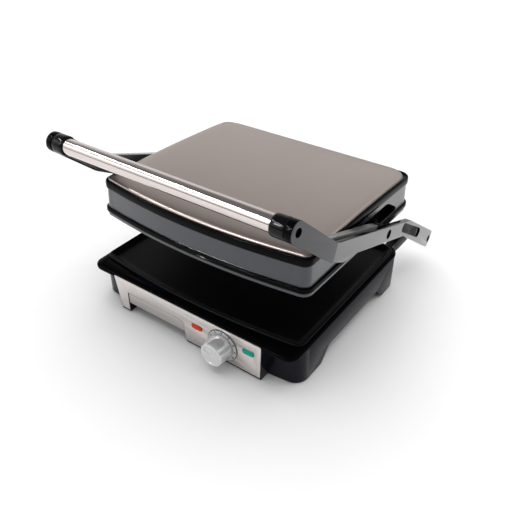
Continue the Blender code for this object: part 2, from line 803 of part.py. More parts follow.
def release_slider(arms):
    """The ribbed catch in the right arm's outer face, and the slot that it slides in."""
    arm_right = bpy.data.objects["arm_right"]
    turn = Matrix.Rotation(-SLOT_SLOPE, 4, "X")
    place = Matrix.Translation((0, *SLOT_CENTRE)) @ turn

    def recess(length, width):
        return stadium(0, 0, length / 2, width / 2)

    def seat(bm):
        bmesh.ops.transform(bm, matrix=place, verts=bm.verts)

    slot = prism(
        "slider_slot", "YZ", recess(SLOT_LENGTH, SLOT_WIDTH), 0.1822, 0.190, None, arms, seat
    )
    cut(arm_right, slot)
    slide = frame("slider_axis", arms, (0, *SLOT_CENTRE))
    slide.rotation_euler = (-SLOT_SLOPE, 0, 0)
    body = fillet(
        [
            (-0.0410, -0.0064, 0.0062),
            (0.0305, -0.0064, 0.0055),
            (0.0305, 0.0064, 0.0055),
            (-0.0410, 0.0064, 0.0062),
        ]
    )
    slider = prism("release_slider", "YZ", body, 0.1826, 0.1864, "black_satin", slide)
    soften(slider, 0.0005)
    for index in range(6):
        y = -0.0010 + 0.0046 * index
        low, high = (0.1853, y, -0.0075), (0.1870, y + 0.0018, 0.0075)
        cut(slider, box(f"slider_rib_{index}", low, high, None, slide))


def arms_and_handle(arms):
    for side, sign in (("left", -1), ("right", 1)):
        arm(side, sign, arms)
        handle_parts(side, sign, arms)
    tube = [
        (TUBE_RADIUS, TUBE_HALF),
        (TUBE_RADIUS, -TUBE_HALF),
        (TUBE_RADIUS - 0.0011, -TUBE_HALF),
        (TUBE_RADIUS - 0.0011, TUBE_HALF),
    ]
    turned("handle_tube", "X", (0, *HANDLE_AXIS), tube, "brushed_steel", arms, 28, ring=True)
    release_slider(arms)


def pins(arms, lid):
    """Hinge pins on the rear axis, and the bolts of the lid's floating pivot."""
    for side, sign in (("left", -1), ("right", 1)):
        axis = "X" if sign > 0 else "-X"
        pin = [
            (0, 0.1850),
            (0.0036, 0.1850),
            (0.0048, 0.1842),
            (0.0048, 0.1828),
            (0.0040, 0.1828),
            (0.0040, 0.1776),
            (0.0085, 0.1776),
            (0.0085, 0.1565),
            (0.0040, 0.1565),
            (0.0040, 0.1450),
            (0, 0.1450),
        ]
        turned(f"hinge_pin_{side}", axis, (0, 0, 0), pin, "steel", arms, 16)
        bolt = [
            (0, 0.1848),
            (0.0048, 0.1848),
            (0.0060, 0.1840),
            (0.0060, 0.1828),
            (0.0040, 0.1828),
            (0.0040, 0.1570),
            (0, 0.1570),
        ]
        turned(f"pivot_bolt_{side}", axis, (0, 0, 0), bolt, "steel", lid, 16)


# ---------------------------------------------------------------- lid


def upper_housing(lid):
    steps = (
        (0.1250, 0.0480),
        (0.0800, 0.0480),
        (0.0110, 0.0480),
        (0.0056, 0.0480),
        (0.0054, 0.0500),
        (0.0046, 0.0506),
        (0.0036, 0.0500),
        (0.0028, 0.0480),
        (0.0026, 0.0440),
        (0.0030, 0.0402),
        (0.0040, 0.0392),
        (0.0038, 0.0380),
        (0.0030, 0.0126),
        (0.0008, 0.0118),
        (0.0000, 0.0102),
        (0.0000, 0.0068),
        (0.0012, 0.0050),
        (0.0018, 0.0044),
        (0.0018, 0.0000),
        (0.0046, 0.0000),
        (0.0060, 0.0120),
        (0.0064, 0.0455),
        (0.0800, 0.0455),
        (0.1250, 0.0455),
    )
    body = loft("upper_housing", lid_rings(steps), "black_gloss", lid, crowned)
    pocket = [(-0.0815, -0.0040, 0.004), (0.0785, -0.0040, 0.003), (0.0430, 0.0180, 0.030)]
    pocket += [(-0.0600, 0.0180, 0.020)]
    liner = [(-0.0858, -0.0066, 0.004), (0.0835, -0.0066, 0.003), (0.0446, 0.0206, 0.030)]
    liner += [(-0.0616, 0.0206, 0.020)]
    for side, sign in (("left", -1), ("right", 1)):
        low, high = sorted((sign * 0.1515, sign * 0.1615))
        join(body, prism(f"pocket_liner_{side}", "YZ", fillet(liner), low, high, None, lid))
    for side, sign in (("left", -1), ("right", 1)):
        low, high = sorted((sign * 0.1540, sign * 0.1700))
        cut(body, prism(f"pocket_{side}", "YZ", fillet(pocket), low, high, None, lid))
        axis = "X" if sign > 0 else "-X"
        centre = (0, 0, 0.0030)
        join(body, rod(f"pivot_boss_{side}", axis, centre, 0.1530, 0.1665, 0.0095, None, lid))
        cut(body, rod(f"pivot_bore_{side}", axis, (0, 0, 0), 0.1560, 0.1700, 0.0043, None, lid))
        bush = [(0.0044, 0.1776), (0.0088, 0.1776), (0.0095, 0.1769), (0.0095, 0.1668), (0.0044, 0.1668)]
        turned(f"pivot_bush_{side}", axis, (0, 0, 0), bush, "nylon", lid, 20, ring=True)
    return body


def upper_cover(lid):
    steps = (
        (0.1250, 0.0560),
        (0.0800, 0.0559),
        (0.0450, 0.0558),
        (0.0220, 0.0556),
        (0.0130, 0.0549),
        (0.0086, 0.0535),
        (0.0067, 0.0516),
        (0.0062, 0.0492),
        (0.0074, 0.0492),
        (0.0079, 0.0512),
        (0.0094, 0.0525),
        (0.0135, 0.0537),
        (0.0450, 0.0546),
        (0.0800, 0.0547),
        (0.1250, 0.0548),
    )
    loft("upper_cover", lid_rings(steps, COVER_RADII), "titanium_cover", lid, crowned)


def upper_grill(lid):
    steps = (
        (0.0120, 0.0100),
        (0.0074, 0.0088),
        (0.0074, 0.0014),
        (0.0084, 0.0006),
        (0.0106, 0.0006),
        (0.0130, 0.0052),
    )
    plate = loft("upper_plate", lid_rings(steps), "non_stick", lid)
    pitch = 0.0125
    count = 23
    tip = LID_BOTTOM + 0.0012
    root = LID_BOTTOM + 0.0057
    back = LID_BOTTOM + 0.0075
    comb = [(-pitch * count / 2, back)]
    for index in range(count):
        x = pitch * (index - (count - 1) / 2)
        comb += [(x - 0.0036, root), (x - 0.0021, tip), (x + 0.0021, tip), (x + 0.0036, root)]
    comb += [(pitch * count / 2, back)]
    join(plate, prism("grill_ribs", "XZ", comb, -0.1420, 0.0980, None, lid))
    path = fillet(
        [
            (0.018, 0.092),
            (0.018, 0.068, 0.012),
            (0.128, 0.068, 0.030),
            (0.128, -0.118, 0.030),
            (-0.128, -0.118, 0.030),
            (-0.128, 0.068, 0.030),
            (-0.018, 0.068, 0.012),
            (-0.018, 0.092),
        ],
        closed=False,
    )
    level = LID_BOTTOM + 0.0150
    bent_rod("upper_heating_element", [(x, y, level) for x, y in path], 0.0033, "element", lid)
    pan = ((0.0240, 0.0245), (0.0180, 0.0185), (0.0172, 0.0185), (0.0232, 0.0253))
    loft("upper_reflector", lid_rings(pan), "aluminised", lid)
    fuse = [(0, 0.0090), (0.0022, 0.0090), (0.0022, -0.0090), (0, -0.0090)]
    turned("thermal_fuse", "X", (0, 0.040, LID_BOTTOM + 0.0290), fuse, "steel", lid, 12)


# ---------------------------------------------------------------- assembly


def make_materials():
    material("black_gloss", (0.010, 0.010, 0.012), 0.12)
    material("black_satin", (0.016, 0.016, 0.018), 0.45)
    material("rubber", (0.012, 0.012, 0.012), 0.80)
    material("non_stick", (0.016, 0.016, 0.017), 0.55)
    material("panel_steel", (0.68, 0.64, 0.62), 0.35, 1.0)
    material("tray_steel", (0.52, 0.49, 0.47), 0.40, 1.0)
    material("tray_plastic", (0.020, 0.020, 0.022), 0.45)
    material("titanium_cover", (0.39, 0.34, 0.32), 0.38, 1.0)
    material("brushed_steel", (0.60, 0.57, 0.55), 0.22, 1.0)
    material("steel", (0.42, 0.42, 0.43), 0.35, 1.0)
    material("aluminised", (0.55, 0.55, 0.56), 0.40, 1.0)
    material("galvanised", (0.45, 0.46, 0.47), 0.50, 1.0)
    material("element", (0.20, 0.19, 0.19), 0.50, 1.0)
    material("dial_grey", (0.70, 0.70, 0.71), 0.40)
    material("knob_silver", (0.72, 0.72, 0.73), 0.28, 0.9)
    material("power_lens", (0.70, 0.08, 0.02), 0.25)
    material("ready_lens", (0.00, 0.38, 0.32), 0.25)
    material("lamp_holder", (0.60, 0.58, 0.52), 0.50)
    material("nylon", (0.03, 0.03, 0.03), 0.40)


def main():
    global PARTS, CUTTERS
    clear_scene()
    PARTS = make_collection("panini_press")
    CUTTERS = make_collection("cutters")
    make_materials()
    base = frame("press_frame", None, (0, PANEL_Y, 0))
    arms = frame("hinge_axis", base, (0, HINGE_Y, HINGE_Z), BEAM_RISE)
    pivot = Matrix.Rotation(-BEAM_RISE, 4, "X") @ Vector((0, *PIVOT))
    lid = frame("lid_pivot_axis", base, Vector((0, HINGE_Y, HINGE_Z)) + pivot, LID_TILT)
    base_housing(base)
    bottom_cover(base)
    feet(base)
    lower_grill(base)
    control_panel(base)
    knob(base)
    drip_tray(base)
    rear_fittings(base)
    arms_and_handle(arms)
    pins(arms, lid)
    upper_housing(lid)
    upper_cover(lid)
    upper_grill(lid)


main()
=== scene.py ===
"""Panini press: fine surfaces, finishes, light and camera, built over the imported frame.

Each sub-assembly is a class with its sizes as fields. A sub-assembly is built in its own frame: the
base from the panel's front face, the arms from the rear hinge axis with their beams level, and the
lid from its pivot axis with its plate level.
"""

import json
import logging
import math
from collections.abc import Callable, Sequence
from dataclasses import dataclass, field
from enum import Enum

import bmesh
import bpy
from mathutils import Matrix, Vector

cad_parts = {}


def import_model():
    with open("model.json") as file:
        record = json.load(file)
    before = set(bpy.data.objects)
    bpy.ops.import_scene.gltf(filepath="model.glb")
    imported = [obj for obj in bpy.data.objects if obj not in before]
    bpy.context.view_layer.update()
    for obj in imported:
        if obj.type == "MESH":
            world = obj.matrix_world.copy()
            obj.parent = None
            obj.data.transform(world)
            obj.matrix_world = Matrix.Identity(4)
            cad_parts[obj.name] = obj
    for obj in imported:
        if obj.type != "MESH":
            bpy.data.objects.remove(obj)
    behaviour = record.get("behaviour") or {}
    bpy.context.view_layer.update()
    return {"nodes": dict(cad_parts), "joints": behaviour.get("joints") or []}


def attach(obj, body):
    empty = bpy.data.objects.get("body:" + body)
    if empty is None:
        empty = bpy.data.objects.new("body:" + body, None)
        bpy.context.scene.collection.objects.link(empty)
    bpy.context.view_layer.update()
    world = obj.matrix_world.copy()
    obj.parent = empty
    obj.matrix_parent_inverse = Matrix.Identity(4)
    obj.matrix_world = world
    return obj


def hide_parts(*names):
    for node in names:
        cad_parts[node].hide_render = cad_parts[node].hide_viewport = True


LOG = logging.getLogger("press")

Point = tuple[float, float]
Outline = list[Point]
Corner = tuple[float, ...]
Colour = tuple[float, float, float]
Ring = tuple[Outline, float]


# ---------------------------------------------------------------- finishes


class Grain(Enum):
    """The fine surface pattern that a finish carries."""

    GLOSS = "gloss"
    SATIN = "satin"
    BRUSHED = "brushed"
    SPECKLE = "speckle"
    CAST = "cast"


class Across(Enum):
    """The way brush lines run, as a noise scale in lines per metre along each axis."""

    ALONG_X = (9.0, 1500.0, 1500.0)


@dataclass(frozen=True)
class Finish:
    """A surface finish that makes its own shader nodes."""

    name: str
    colour: Colour
    roughness: float
    grain: Grain
    metallic: float = 0.0
    specular: float = 0.5
    coat: float = 0.0
    coat_roughness: float = 0.06
    variation: float = 0.12
    spread: float = 0.06
    brush: Across = Across.ALONG_X
    relief: float = 0.00002
    glow: float = 0.0

    def make(self) -> bpy.types.Material:
        """Makes the material.

        Returns:
            The new material, with grain in its colour, roughness and bump.
        """
        made = bpy.data.materials.new(self.name)
        made.use_nodes = True
        tree = made.node_tree
        shader = tree.nodes["Principled BSDF"]
        shader.inputs["Metallic"].default_value = self.metallic
        shader.inputs["Specular IOR Level"].default_value = self.specular
        shader.inputs["Coat Weight"].default_value = self.coat
        shader.inputs["Coat Roughness"].default_value = self.coat_roughness
        if self.glow:
            shader.inputs["Emission Color"].default_value = (*self.colour, 1.0)
            shader.inputs["Emission Strength"].default_value = self.glow
        place = tree.nodes.new("ShaderNodeTexCoord").outputs["Object"]
        broad = self._noise(tree, place, (14.0, 14.0, 14.0), 1.0, 3.0)
        fine = self._noise(tree, place, *self._fine_scale())
        both = tree.nodes.new("ShaderNodeMix")
        both.inputs["Factor"].default_value = 0.55
        tree.links.new(broad, both.inputs["A"])
        tree.links.new(fine, both.inputs["B"])
        mixed = both.outputs["Result"]
        tint = tree.nodes.new("ShaderNodeValToRGB")
        low, high = 1.0 - self.variation, 1.0 + self.variation
        tint.color_ramp.elements[0].position = 0.28
        tint.color_ramp.elements[1].position = 0.72
        tint.color_ramp.elements[0].color = (*(c * low for c in self.colour), 1.0)
        tint.color_ramp.elements[1].color = (*(min(1.0, c * high) for c in self.colour), 1.0)
        tree.links.new(mixed, tint.inputs["Fac"])
        tree.links.new(tint.outputs["Color"], shader.inputs["Base Color"])
        rough = tree.nodes.new("ShaderNodeMapRange")
        rough.inputs["From Min"].default_value = 0.3
        rough.inputs["From Max"].default_value = 0.7
        rough.inputs["To Min"].default_value = max(0.02, self.roughness - self.spread)
        rough.inputs["To Max"].default_value = min(1.0, self.roughness + self.spread)
        tree.links.new(mixed, rough.inputs["Value"])
        tree.links.new(rough.outputs["Result"], shader.inputs["Roughness"])
        bump = tree.nodes.new("ShaderNodeBump")
        bump.inputs["Strength"].default_value = 0.35
        bump.inputs["Distance"].default_value = self.relief
        tree.links.new(fine, bump.inputs["Height"])
        tree.links.new(bump.outputs["Normal"], shader.inputs["Normal"])
        return made

    def _fine_scale(self) -> tuple[tuple[float, float, float], float, float]:
        """Gives the fine pattern's scale for each axis, its overall scale and its detail."""
        if self.grain is Grain.BRUSHED:
            return self.brush.value, 1.0, 3.0
        size = {
            Grain.GLOSS: 90.0,
            Grain.SATIN: 1400.0,
            Grain.SPECKLE: 2200.0,
            Grain.CAST: 700.0,
        }[self.grain]
        return (size, size, size), 1.0, 4.0

    @staticmethod
    def _noise(
        tree: bpy.types.NodeTree,
        place: bpy.types.NodeSocket,
        stretch: Sequence[float],
        scale: float,
        detail: float,
    ) -> bpy.types.NodeSocket:
        """Adds a stretched noise.

        Args:
            tree: the material's nodes.
            place: where the pattern is read from.
            stretch: the pattern's scale along each axis, per metre.
            scale: the pattern's overall scale.
            detail: how many finer layers it has.

        Returns:
            The noise value's socket.
        """
        mapping = tree.nodes.new("ShaderNodeMapping")
        mapping.inputs["Scale"].default_value = tuple(stretch)
        tree.links.new(place, mapping.inputs["Vector"])
        noise = tree.nodes.new("ShaderNodeTexNoise")
        noise.inputs["Scale"].default_value = scale
        noise.inputs["Detail"].default_value = detail
        noise.inputs["Roughness"].default_value = 0.6
        tree.links.new(mapping.outputs["Vector"], noise.inputs["Vector"])
        return noise.outputs["Fac"]


class Finishes:
    """Every finish on the press, made once."""

    def __init__(self) -> None:
        """Makes the materials."""
        gloss, satin, brushed = Grain.GLOSS, Grain.SATIN, Grain.BRUSHED
        self.black_gloss = self._make(
            "black_gloss", (0.003, 0.003, 0.004), 0.06, gloss, specular=0.20, variation=0.3, spread=0.02
        )
        self.rim_black = self._make(
            "rim_black", (0.0018, 0.0018, 0.0024), 0.06, gloss, specular=0.05, variation=0.3, spread=0.01
        )
        self.deck_black = self._make(
            "deck_black", (0.0014, 0.0014, 0.0020), 0.20, satin, specular=0.02, variation=0.3
        )
        self.wall_black = self._make(
            "wall_black", (0.005, 0.005, 0.010), 0.18, gloss, specular=0.07, variation=0.3
        )
        self.gunmetal = self._make(
            "gunmetal_lacquer",
            (0.026, 0.029, 0.039),
            0.26,
            Grain.SPECKLE,
            metallic=0.25,
            coat=0.65,
            coat_roughness=0.10,
        )
        self.arm_gunmetal = self._make(
            "arm_lacquer",
            (0.075, 0.076, 0.081),
            0.30,
            Grain.SPECKLE,
            metallic=0.35,
            coat=0.7,
            coat_roughness=0.12,
        )
        # A darker copy of the arm lacquer: painted shade on the front link's outer face.
        self.link_shaded_lacquer = self._make(
            "link_lacquer_painted_shade",
            (0.028, 0.029, 0.033),
            0.30,
            Grain.SPECKLE,
            metallic=0.30,
            coat=0.35,
            coat_roughness=0.12,
        )
        self.satin_black = self._make("satin_black", (0.006, 0.006, 0.007), 0.45, satin, specular=0.15)
        self.catch_black = self._make("catch_black", (0.0015, 0.0015, 0.002), 0.25, gloss, specular=0.03)
        self.rubber = self._make("foot_rubber", (0.010, 0.010, 0.010), 0.80, Grain.CAST, specular=0.2)
        self.non_stick = self._make(
            "non_stick_coating",
            (0.0022, 0.0022, 0.0027),
            0.38,
            Grain.SPECKLE,
            specular=0.07,
            variation=0.35,
            relief=0.00004,
        )
        self.panel_steel = self._make(
            "panel_steel", (0.70, 0.655, 0.635), 0.34, brushed, metallic=1.0, variation=0.05
        )
        self.tray_steel = self._make(
            "tray_steel", (0.47, 0.44, 0.425), 0.38, brushed, metallic=1.0, variation=0.05
        )
        self.titanium = self._make(
            "titanium_cover", (0.46, 0.395, 0.365), 0.32, Grain.SPECKLE, metallic=1.0, variation=0.05
        )
        self.handle_steel = self._make(
            "handle_steel", (0.70, 0.635, 0.61), 0.10, brushed, metallic=1.0, variation=0.06, spread=0.04
        )
        self.steel = self._make("fixing_steel", (0.40, 0.40, 0.41), 0.32, satin, metallic=1.0)
        self.dark_steel = self._make(
            "dark_fixings", (0.008, 0.008, 0.009), 0.35, satin, metallic=0.3, specular=0.2
        )
        self.aluminium = self._make("sheet_aluminium", (0.55, 0.55, 0.56), 0.38, brushed, metallic=1.0)
        self.element = self._make("element_sheath", (0.16, 0.14, 0.13), 0.5, Grain.CAST, metallic=1.0)
        self.dial = self._make("dial_ring", (0.60, 0.60, 0.61), 0.32, satin, variation=0.04)
        # Dark print for the dial's ticks, also used as painted shade on the dial's rounded edge.
        self.print_and_edge_shade = self._make("dial_print_and_edge_shade", (0.020, 0.020, 0.022), 0.5, satin, specular=0.2)
        self.knob = self._make(
            "knob_silver", (0.70, 0.70, 0.71), 0.24, satin, metallic=0.55, variation=0.04, coat=0.3
        )
        self.orange = self._make(
            "power_lens", (0.56, 0.050, 0.004), 0.30, gloss, glow=0.08, specular=0.12
        )
        self.teal = self._make(
            "ready_lens", (0.0, 0.32, 0.24), 0.30, gloss, glow=0.08, specular=0.12
        )
        self.cream = self._make("heatproof_cream", (0.58, 0.55, 0.48), 0.5, satin)
        self.nylon = self._make("black_nylon", (0.010, 0.010, 0.011), 0.4, satin, specular=0.15)
        self.floor = self._make("pale_floor", (0.90, 0.90, 0.90), 0.9, Grain.SATIN, variation=0.0, relief=0.0)

    @staticmethod
    def _make(
        name: str, colour: Colour, roughness: float, grain: Grain, **more: float
    ) -> bpy.types.Material:
        """Makes one material from its finish."""
        return Finish(name, colour, roughness, grain, **more).make()


# ---------------------------------------------------------------- shaping


def fillet(corners: Sequence[Corner], steps: int = 8, closed: bool = True) -> Outline:
    """Rounds an outline's corners.

    Args:
        corners: (x, y) or (x, y, radius) for each corner, in order.
        steps: how many pieces each rounding has.
        closed: whether the last corner joins the first.

    Returns:
        The outline's points.
    """
    points: Outline = []
    count = len(corners)
    for index, corner in enumerate(corners):
        here = Vector(corner[:2])
        radius = corner[2] if len(corner) > 2 else 0.0
        if not radius or (not closed and index in (0, count - 1)):
            points.append((here.x, here.y))
            continue
        back = (Vector(corners[index - 1][:2]) - here).normalized()
        onward = (Vector(corners[(index + 1) % count][:2]) - here).normalized()
        half = back.angle(onward) / 2
        centre = here + (back + onward).normalized() * (radius / math.sin(half))
        first = here + back * (radius / math.tan(half)) - centre
        last = here + onward * (radius / math.tan(half)) - centre
        sweep = first.angle_signed(last)
        for step in range(steps + 1):
            spot = centre + Matrix.Rotation(-sweep * step / steps, 2) @ first
            points.append((spot.x, spot.y))
    return points


@dataclass(frozen=True)
class BowedPlan:
    """A rounded plan outline whose front edge bulges forward at its middle."""

    half: float
    front: float
    rear: float
    bow: float
    front_radius: float
    rear_radius: float

    def outline(
        self, inset: float, corner_steps: int = 12, front_steps: int = 28, side_steps: int = 1
    ) -> Outline:
        """Gives the outline, drawn in on every side.

        Args:
            inset: how far every side is drawn in.
            corner_steps: how many pieces each corner has.
            front_steps: how many pieces the front edge has.
            side_steps: how many pieces each side has.

        Returns:
            The outline's points, anticlockwise from the front left.
        """
        half = self.half - inset
        front = self.front + inset
        rear = self.rear - inset
        fore = max(self.front_radius - inset, 0.003)
        aft = max(self.rear_radius - inset, 0.003)
        reach = half - fore

        def edge(x: float) -> float:
            """Gives the front edge's y at x."""
            return front + self.bow * (x / half) ** 2

        points: Outline = []
        for step in range(front_steps + 1):
            x = reach * (2 * step / front_steps - 1)
            points.append((x, edge(x)))
        start = edge(reach)
        corners = (
            (reach, start + fore, fore, -90.0, 0.0),
            (half - aft, rear - aft, aft, 0.0, 90.0),
            (aft - half, rear - aft, aft, 90.0, 180.0),
            (-reach, start + fore, fore, 180.0, 270.0),
        )
        for index, (x, y, radius, first, last) in enumerate(corners):
            begin = 1 if index == 0 else 0
            end = corner_steps if index == 3 else corner_steps + 1
            for step in range(begin, end):
                turn = math.radians(first + (last - first) * step / corner_steps)
                points.append((x + radius * math.cos(turn), y + radius * math.sin(turn)))
            if index in (0, 2):
                side, near = points[-1]
                far = rear - aft if index == 0 else start + fore
                for step in range(1, side_steps):
                    points.append((side, near + (far - near) * step / side_steps))
        return points


class Workshop:
    def __init__(self, place: Matrix, body: str) -> None:
        """Keeps where the pieces go and what they ride on.

        Args:
            place: the frame that shapes are drawn in, in the row frame.
            body: the body that the pieces ride on.
        """
        self.place = place
        self.body = body

    def finish_mesh(
        self, name: str, bm: bmesh.types.BMesh, finishes: Sequence[bpy.types.Material], crease: float = 32
    ) -> bpy.types.Object:
        """Turns a drawn shape into an object.

        Args:
            name: the object's name.
            bm: the shape, which is freed.
            finishes: its materials, in slot order.
            crease: faces that meet at more than this many degrees stay sharp.

        Returns:
            The object, in place in the row frame.
        """
        bmesh.ops.recalc_face_normals(bm, faces=bm.faces)
        mesh = bpy.data.meshes.new(name)
        bm.to_mesh(mesh)
        bm.free()
        mesh.shade_smooth()
        mesh.set_sharp_from_angle(angle=math.radians(crease))
        for finish in finishes:
            mesh.materials.append(finish)
        made = bpy.data.objects.new(name, mesh)
        bpy.context.scene.collection.objects.link(made)
        made.matrix_world = self.place
        return made

    def give(
        self, piece: bpy.types.Object, slot: str, *nodes: str, body: str | None = None
    ) -> bpy.types.Object:
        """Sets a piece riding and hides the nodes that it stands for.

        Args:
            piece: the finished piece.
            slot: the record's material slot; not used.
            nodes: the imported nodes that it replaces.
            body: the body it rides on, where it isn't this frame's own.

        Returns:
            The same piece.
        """
        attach(piece, body or self.body)
        if nodes:
            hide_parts(*nodes)
        stands_for = ", ".join(nodes) or "itself"
        LOG.info("%s rides on %s and stands for %s", piece.name, body or self.body, stands_for)
        return piece

    def loft(
        self,
        name: str,
        rings: Sequence[Ring],
        finishes: Sequence[bpy.types.Material],
        bands: Sequence[int] | None = None,
        crease: float = 32,
        shape: Callable[[bmesh.types.BMesh], None] | None = None,
    ) -> bpy.types.Object:
        """Makes a solid through rings of points.

        Args:
            name: the object's name.
            rings: (outline, z) for each ring.
            finishes: the materials, in slot order.
            bands: the slot of each band between two rings. The first cap takes the first band's.
            crease: the angle above which edges stay sharp.
            shape: a last change to the shape, if any.

        Returns:
            The object.
        """
        bm = bmesh.new()
        loops = [[bm.verts.new((x, y, z)) for x, y in outline] for outline, z in rings]
        first = bm.faces.new(loops[0])
        last = bm.faces.new(loops[-1])
        if bands:
            first.material_index = bands[0]
            last.material_index = bands[-1]
        for band, (lower, upper) in enumerate(zip(loops, loops[1:])):
            count = len(lower)
            for index in range(count):
                after = (index + 1) % count
                face = bm.faces.new((lower[index], lower[after], upper[after], upper[index]))
                if bands:
                    face.material_index = bands[band]
        if shape:
            shape(bm)
        return self.finish_mesh(name, bm, finishes, crease)

    def prism(
        self,
        name: str,
        plane: str,
        outline: Outline,
        low: float,
        high: float,
        finishes: Sequence[bpy.types.Material],
        shape: Callable[[bmesh.types.BMesh], None] | None = None,
    ) -> bpy.types.Object:
        """Makes a flat outline into a slab.

        Args:
            name: the object's name.
            plane: "XY", "YZ" or "XZ", the plane of the outline.
            outline: its points.
            low: where the slab starts, across the plane.
            high: where it ends.
            finishes: the materials, in slot order.
            shape: a last change to the shape, if any.

        Returns:
            The object.
        """

        def spot(u: float, v: float, depth: float) -> tuple[float, float, float]:
            """Places an outline point at a depth."""
            return {"XY": (u, v, depth), "YZ": (depth, u, v), "XZ": (u, depth, v)}[plane]

        bm = bmesh.new()
        near = [bm.verts.new(spot(u, v, low)) for u, v in outline]
        far = [bm.verts.new(spot(u, v, high)) for u, v in outline]
        bm.faces.new(near)
        bm.faces.new(far)
        count = len(outline)
        for index in range(count):
            after = (index + 1) % count
            bm.faces.new((near[index], near[after], far[after], far[index]))
        if shape:
            shape(bm)
        return self.finish_mesh(name, bm, finishes)

    def turned(
        self,
        name: str,
        axis: str,
        centre: Sequence[float],
        profile: Sequence[Point],
        finishes: Sequence[bpy.types.Material],
        steps: int = 64,
        ring: bool = False,
    ) -> bpy.types.Object:
        """Makes a turned shape.

        Args:
            name: the object's name.
            axis: "X", "-X", "Y", "-Y" or "Z", the way heights run.
            centre: a point on the axis that heights are measured from.
            profile: (radius, height) points; radius 0 closes an end.
            finishes: the materials.
            steps: how many sides it has.
            ring: whether the profile's end joins its start.

        Returns:
            The object.
        """
        turns = {
            "X": Matrix.Rotation(math.pi / 2, 4, "Y"),
            "-X": Matrix.Rotation(-math.pi / 2, 4, "Y"),
            "Y": Matrix.Rotation(-math.pi / 2, 4, "X"),
            "-Y": Matrix.Rotation(math.pi / 2, 4, "X"),
            "Z": Matrix.Identity(4),
        }
        seat = Matrix.Translation(Vector(centre)) @ turns[axis]
        bm = bmesh.new()
        rows: list[list[bmesh.types.BMVert]] = []
        for radius, height in profile:
            if radius <= 0:
                rows.append([bm.verts.new(seat @ Vector((0, 0, height)))] * steps)
                continue
            row = []
            for step in range(steps):
                angle = math.tau * step / steps
                spot = Vector((radius * math.cos(angle), radius * math.sin(angle), height))
                row.append(bm.verts.new(seat @ spot))
            rows.append(row)
        pairs = list(zip(rows, rows[1:]))
        if ring:
            pairs.append((rows[-1], rows[0]))
        for upper, lower in pairs:
            for step in range(steps):
                after = (step + 1) % steps
                corners = [upper[step], upper[after], lower[after], lower[step]]
                distinct = list(dict.fromkeys(corners))
                if len(distinct) > 2:
                    bm.faces.new(distinct)
        return self.finish_mesh(name, bm, finishes)

    def rod(
        self, name: str, axis: str, centre: Sequence[float], start: float, end: float, radius: float
    ) -> bpy.types.Object:
        """Makes a plain round cutter or joined rod."""
        return self.turned(name, axis, centre, [(0, end), (radius, end), (radius, start), (0, start)], [], 40)


def hide_tool(tool: bpy.types.Object) -> None:
    """Removes a used cutter."""
    mesh = tool.data
    bpy.data.objects.remove(tool, do_unlink=True)
    bpy.data.meshes.remove(mesh)


def combine(target: bpy.types.Object, tool: bpy.types.Object, operation: str) -> None:
    """Joins or cuts a target with a tool, which is used up.

    Args:
        target: the piece that changes.
        tool: the shape that changes it.
        operation: "UNION", "DIFFERENCE" or "INTERSECT".
    """
    step = target.modifiers.new(tool.name, "BOOLEAN")
    step.operation = operation
    step.solver = "EXACT"
    step.object = tool
    if operation == "UNION" and not tool.data.materials:
        for slot in target.data.materials:
            tool.data.materials.append(slot)
    bpy.context.view_layer.update()
    bake(target)
    hide_tool(tool)


def bake(target: bpy.types.Object, crease: float = 32) -> None:
    """Writes a piece's modifiers into its mesh.

    Args:
        target: the piece.
        crease: the angle above which edges stay sharp.
    """
    bpy.context.view_layer.update()
    graph = bpy.context.evaluated_depsgraph_get()
    mesh = bpy.data.meshes.new_from_object(target.evaluated_get(graph))
    old = target.data
    target.modifiers.clear()
    target.data = mesh
    mesh.shade_smooth()
    mesh.set_sharp_from_angle(angle=math.radians(crease))
    bpy.data.meshes.remove(old)


def soften(target: bpy.types.Object, width: float, segments: int = 3, angle: float = 38) -> None:
    """Rounds a piece's sharp edges.

    Args:
        target: the piece.
        width: how far the rounding reaches from each edge.
        segments: how many pieces it has.
        angle: the least angle of an edge that is rounded, in degrees.
    """
    bevel = target.modifiers.new("edges", "BEVEL")
    bevel.width = width
    bevel.segments = segments
    bevel.limit_method = "ANGLE"
    bevel.angle_limit = math.radians(angle)
    bevel.harden_normals = False
    bake(target, 40)


def paint_faces(
    target: bpy.types.Object, rule: Callable[[bpy.types.MeshPolygon], int | None]
) -> None:
    """Sets face materials by a rule that gives a slot number, or None to leave a face."""
    for face in target.data.polygons:
        slot = rule(face)
        if slot is not None:
            face.material_index = slot


def pill(x: float, z: float, half: float, radius: float, steps: int = 8) -> Outline:
    """Gives a rounded bar's outline, half its length and its end radius given."""
    r = radius * 0.995
    return fillet(
        [
            (x - half, z - radius, r),
            (x + half, z - radius, r),
            (x + half, z + radius, r),
            (x - half, z + radius, r),
        ],
        steps,
    )


# ---------------------------------------------------------------- sub-assemblies


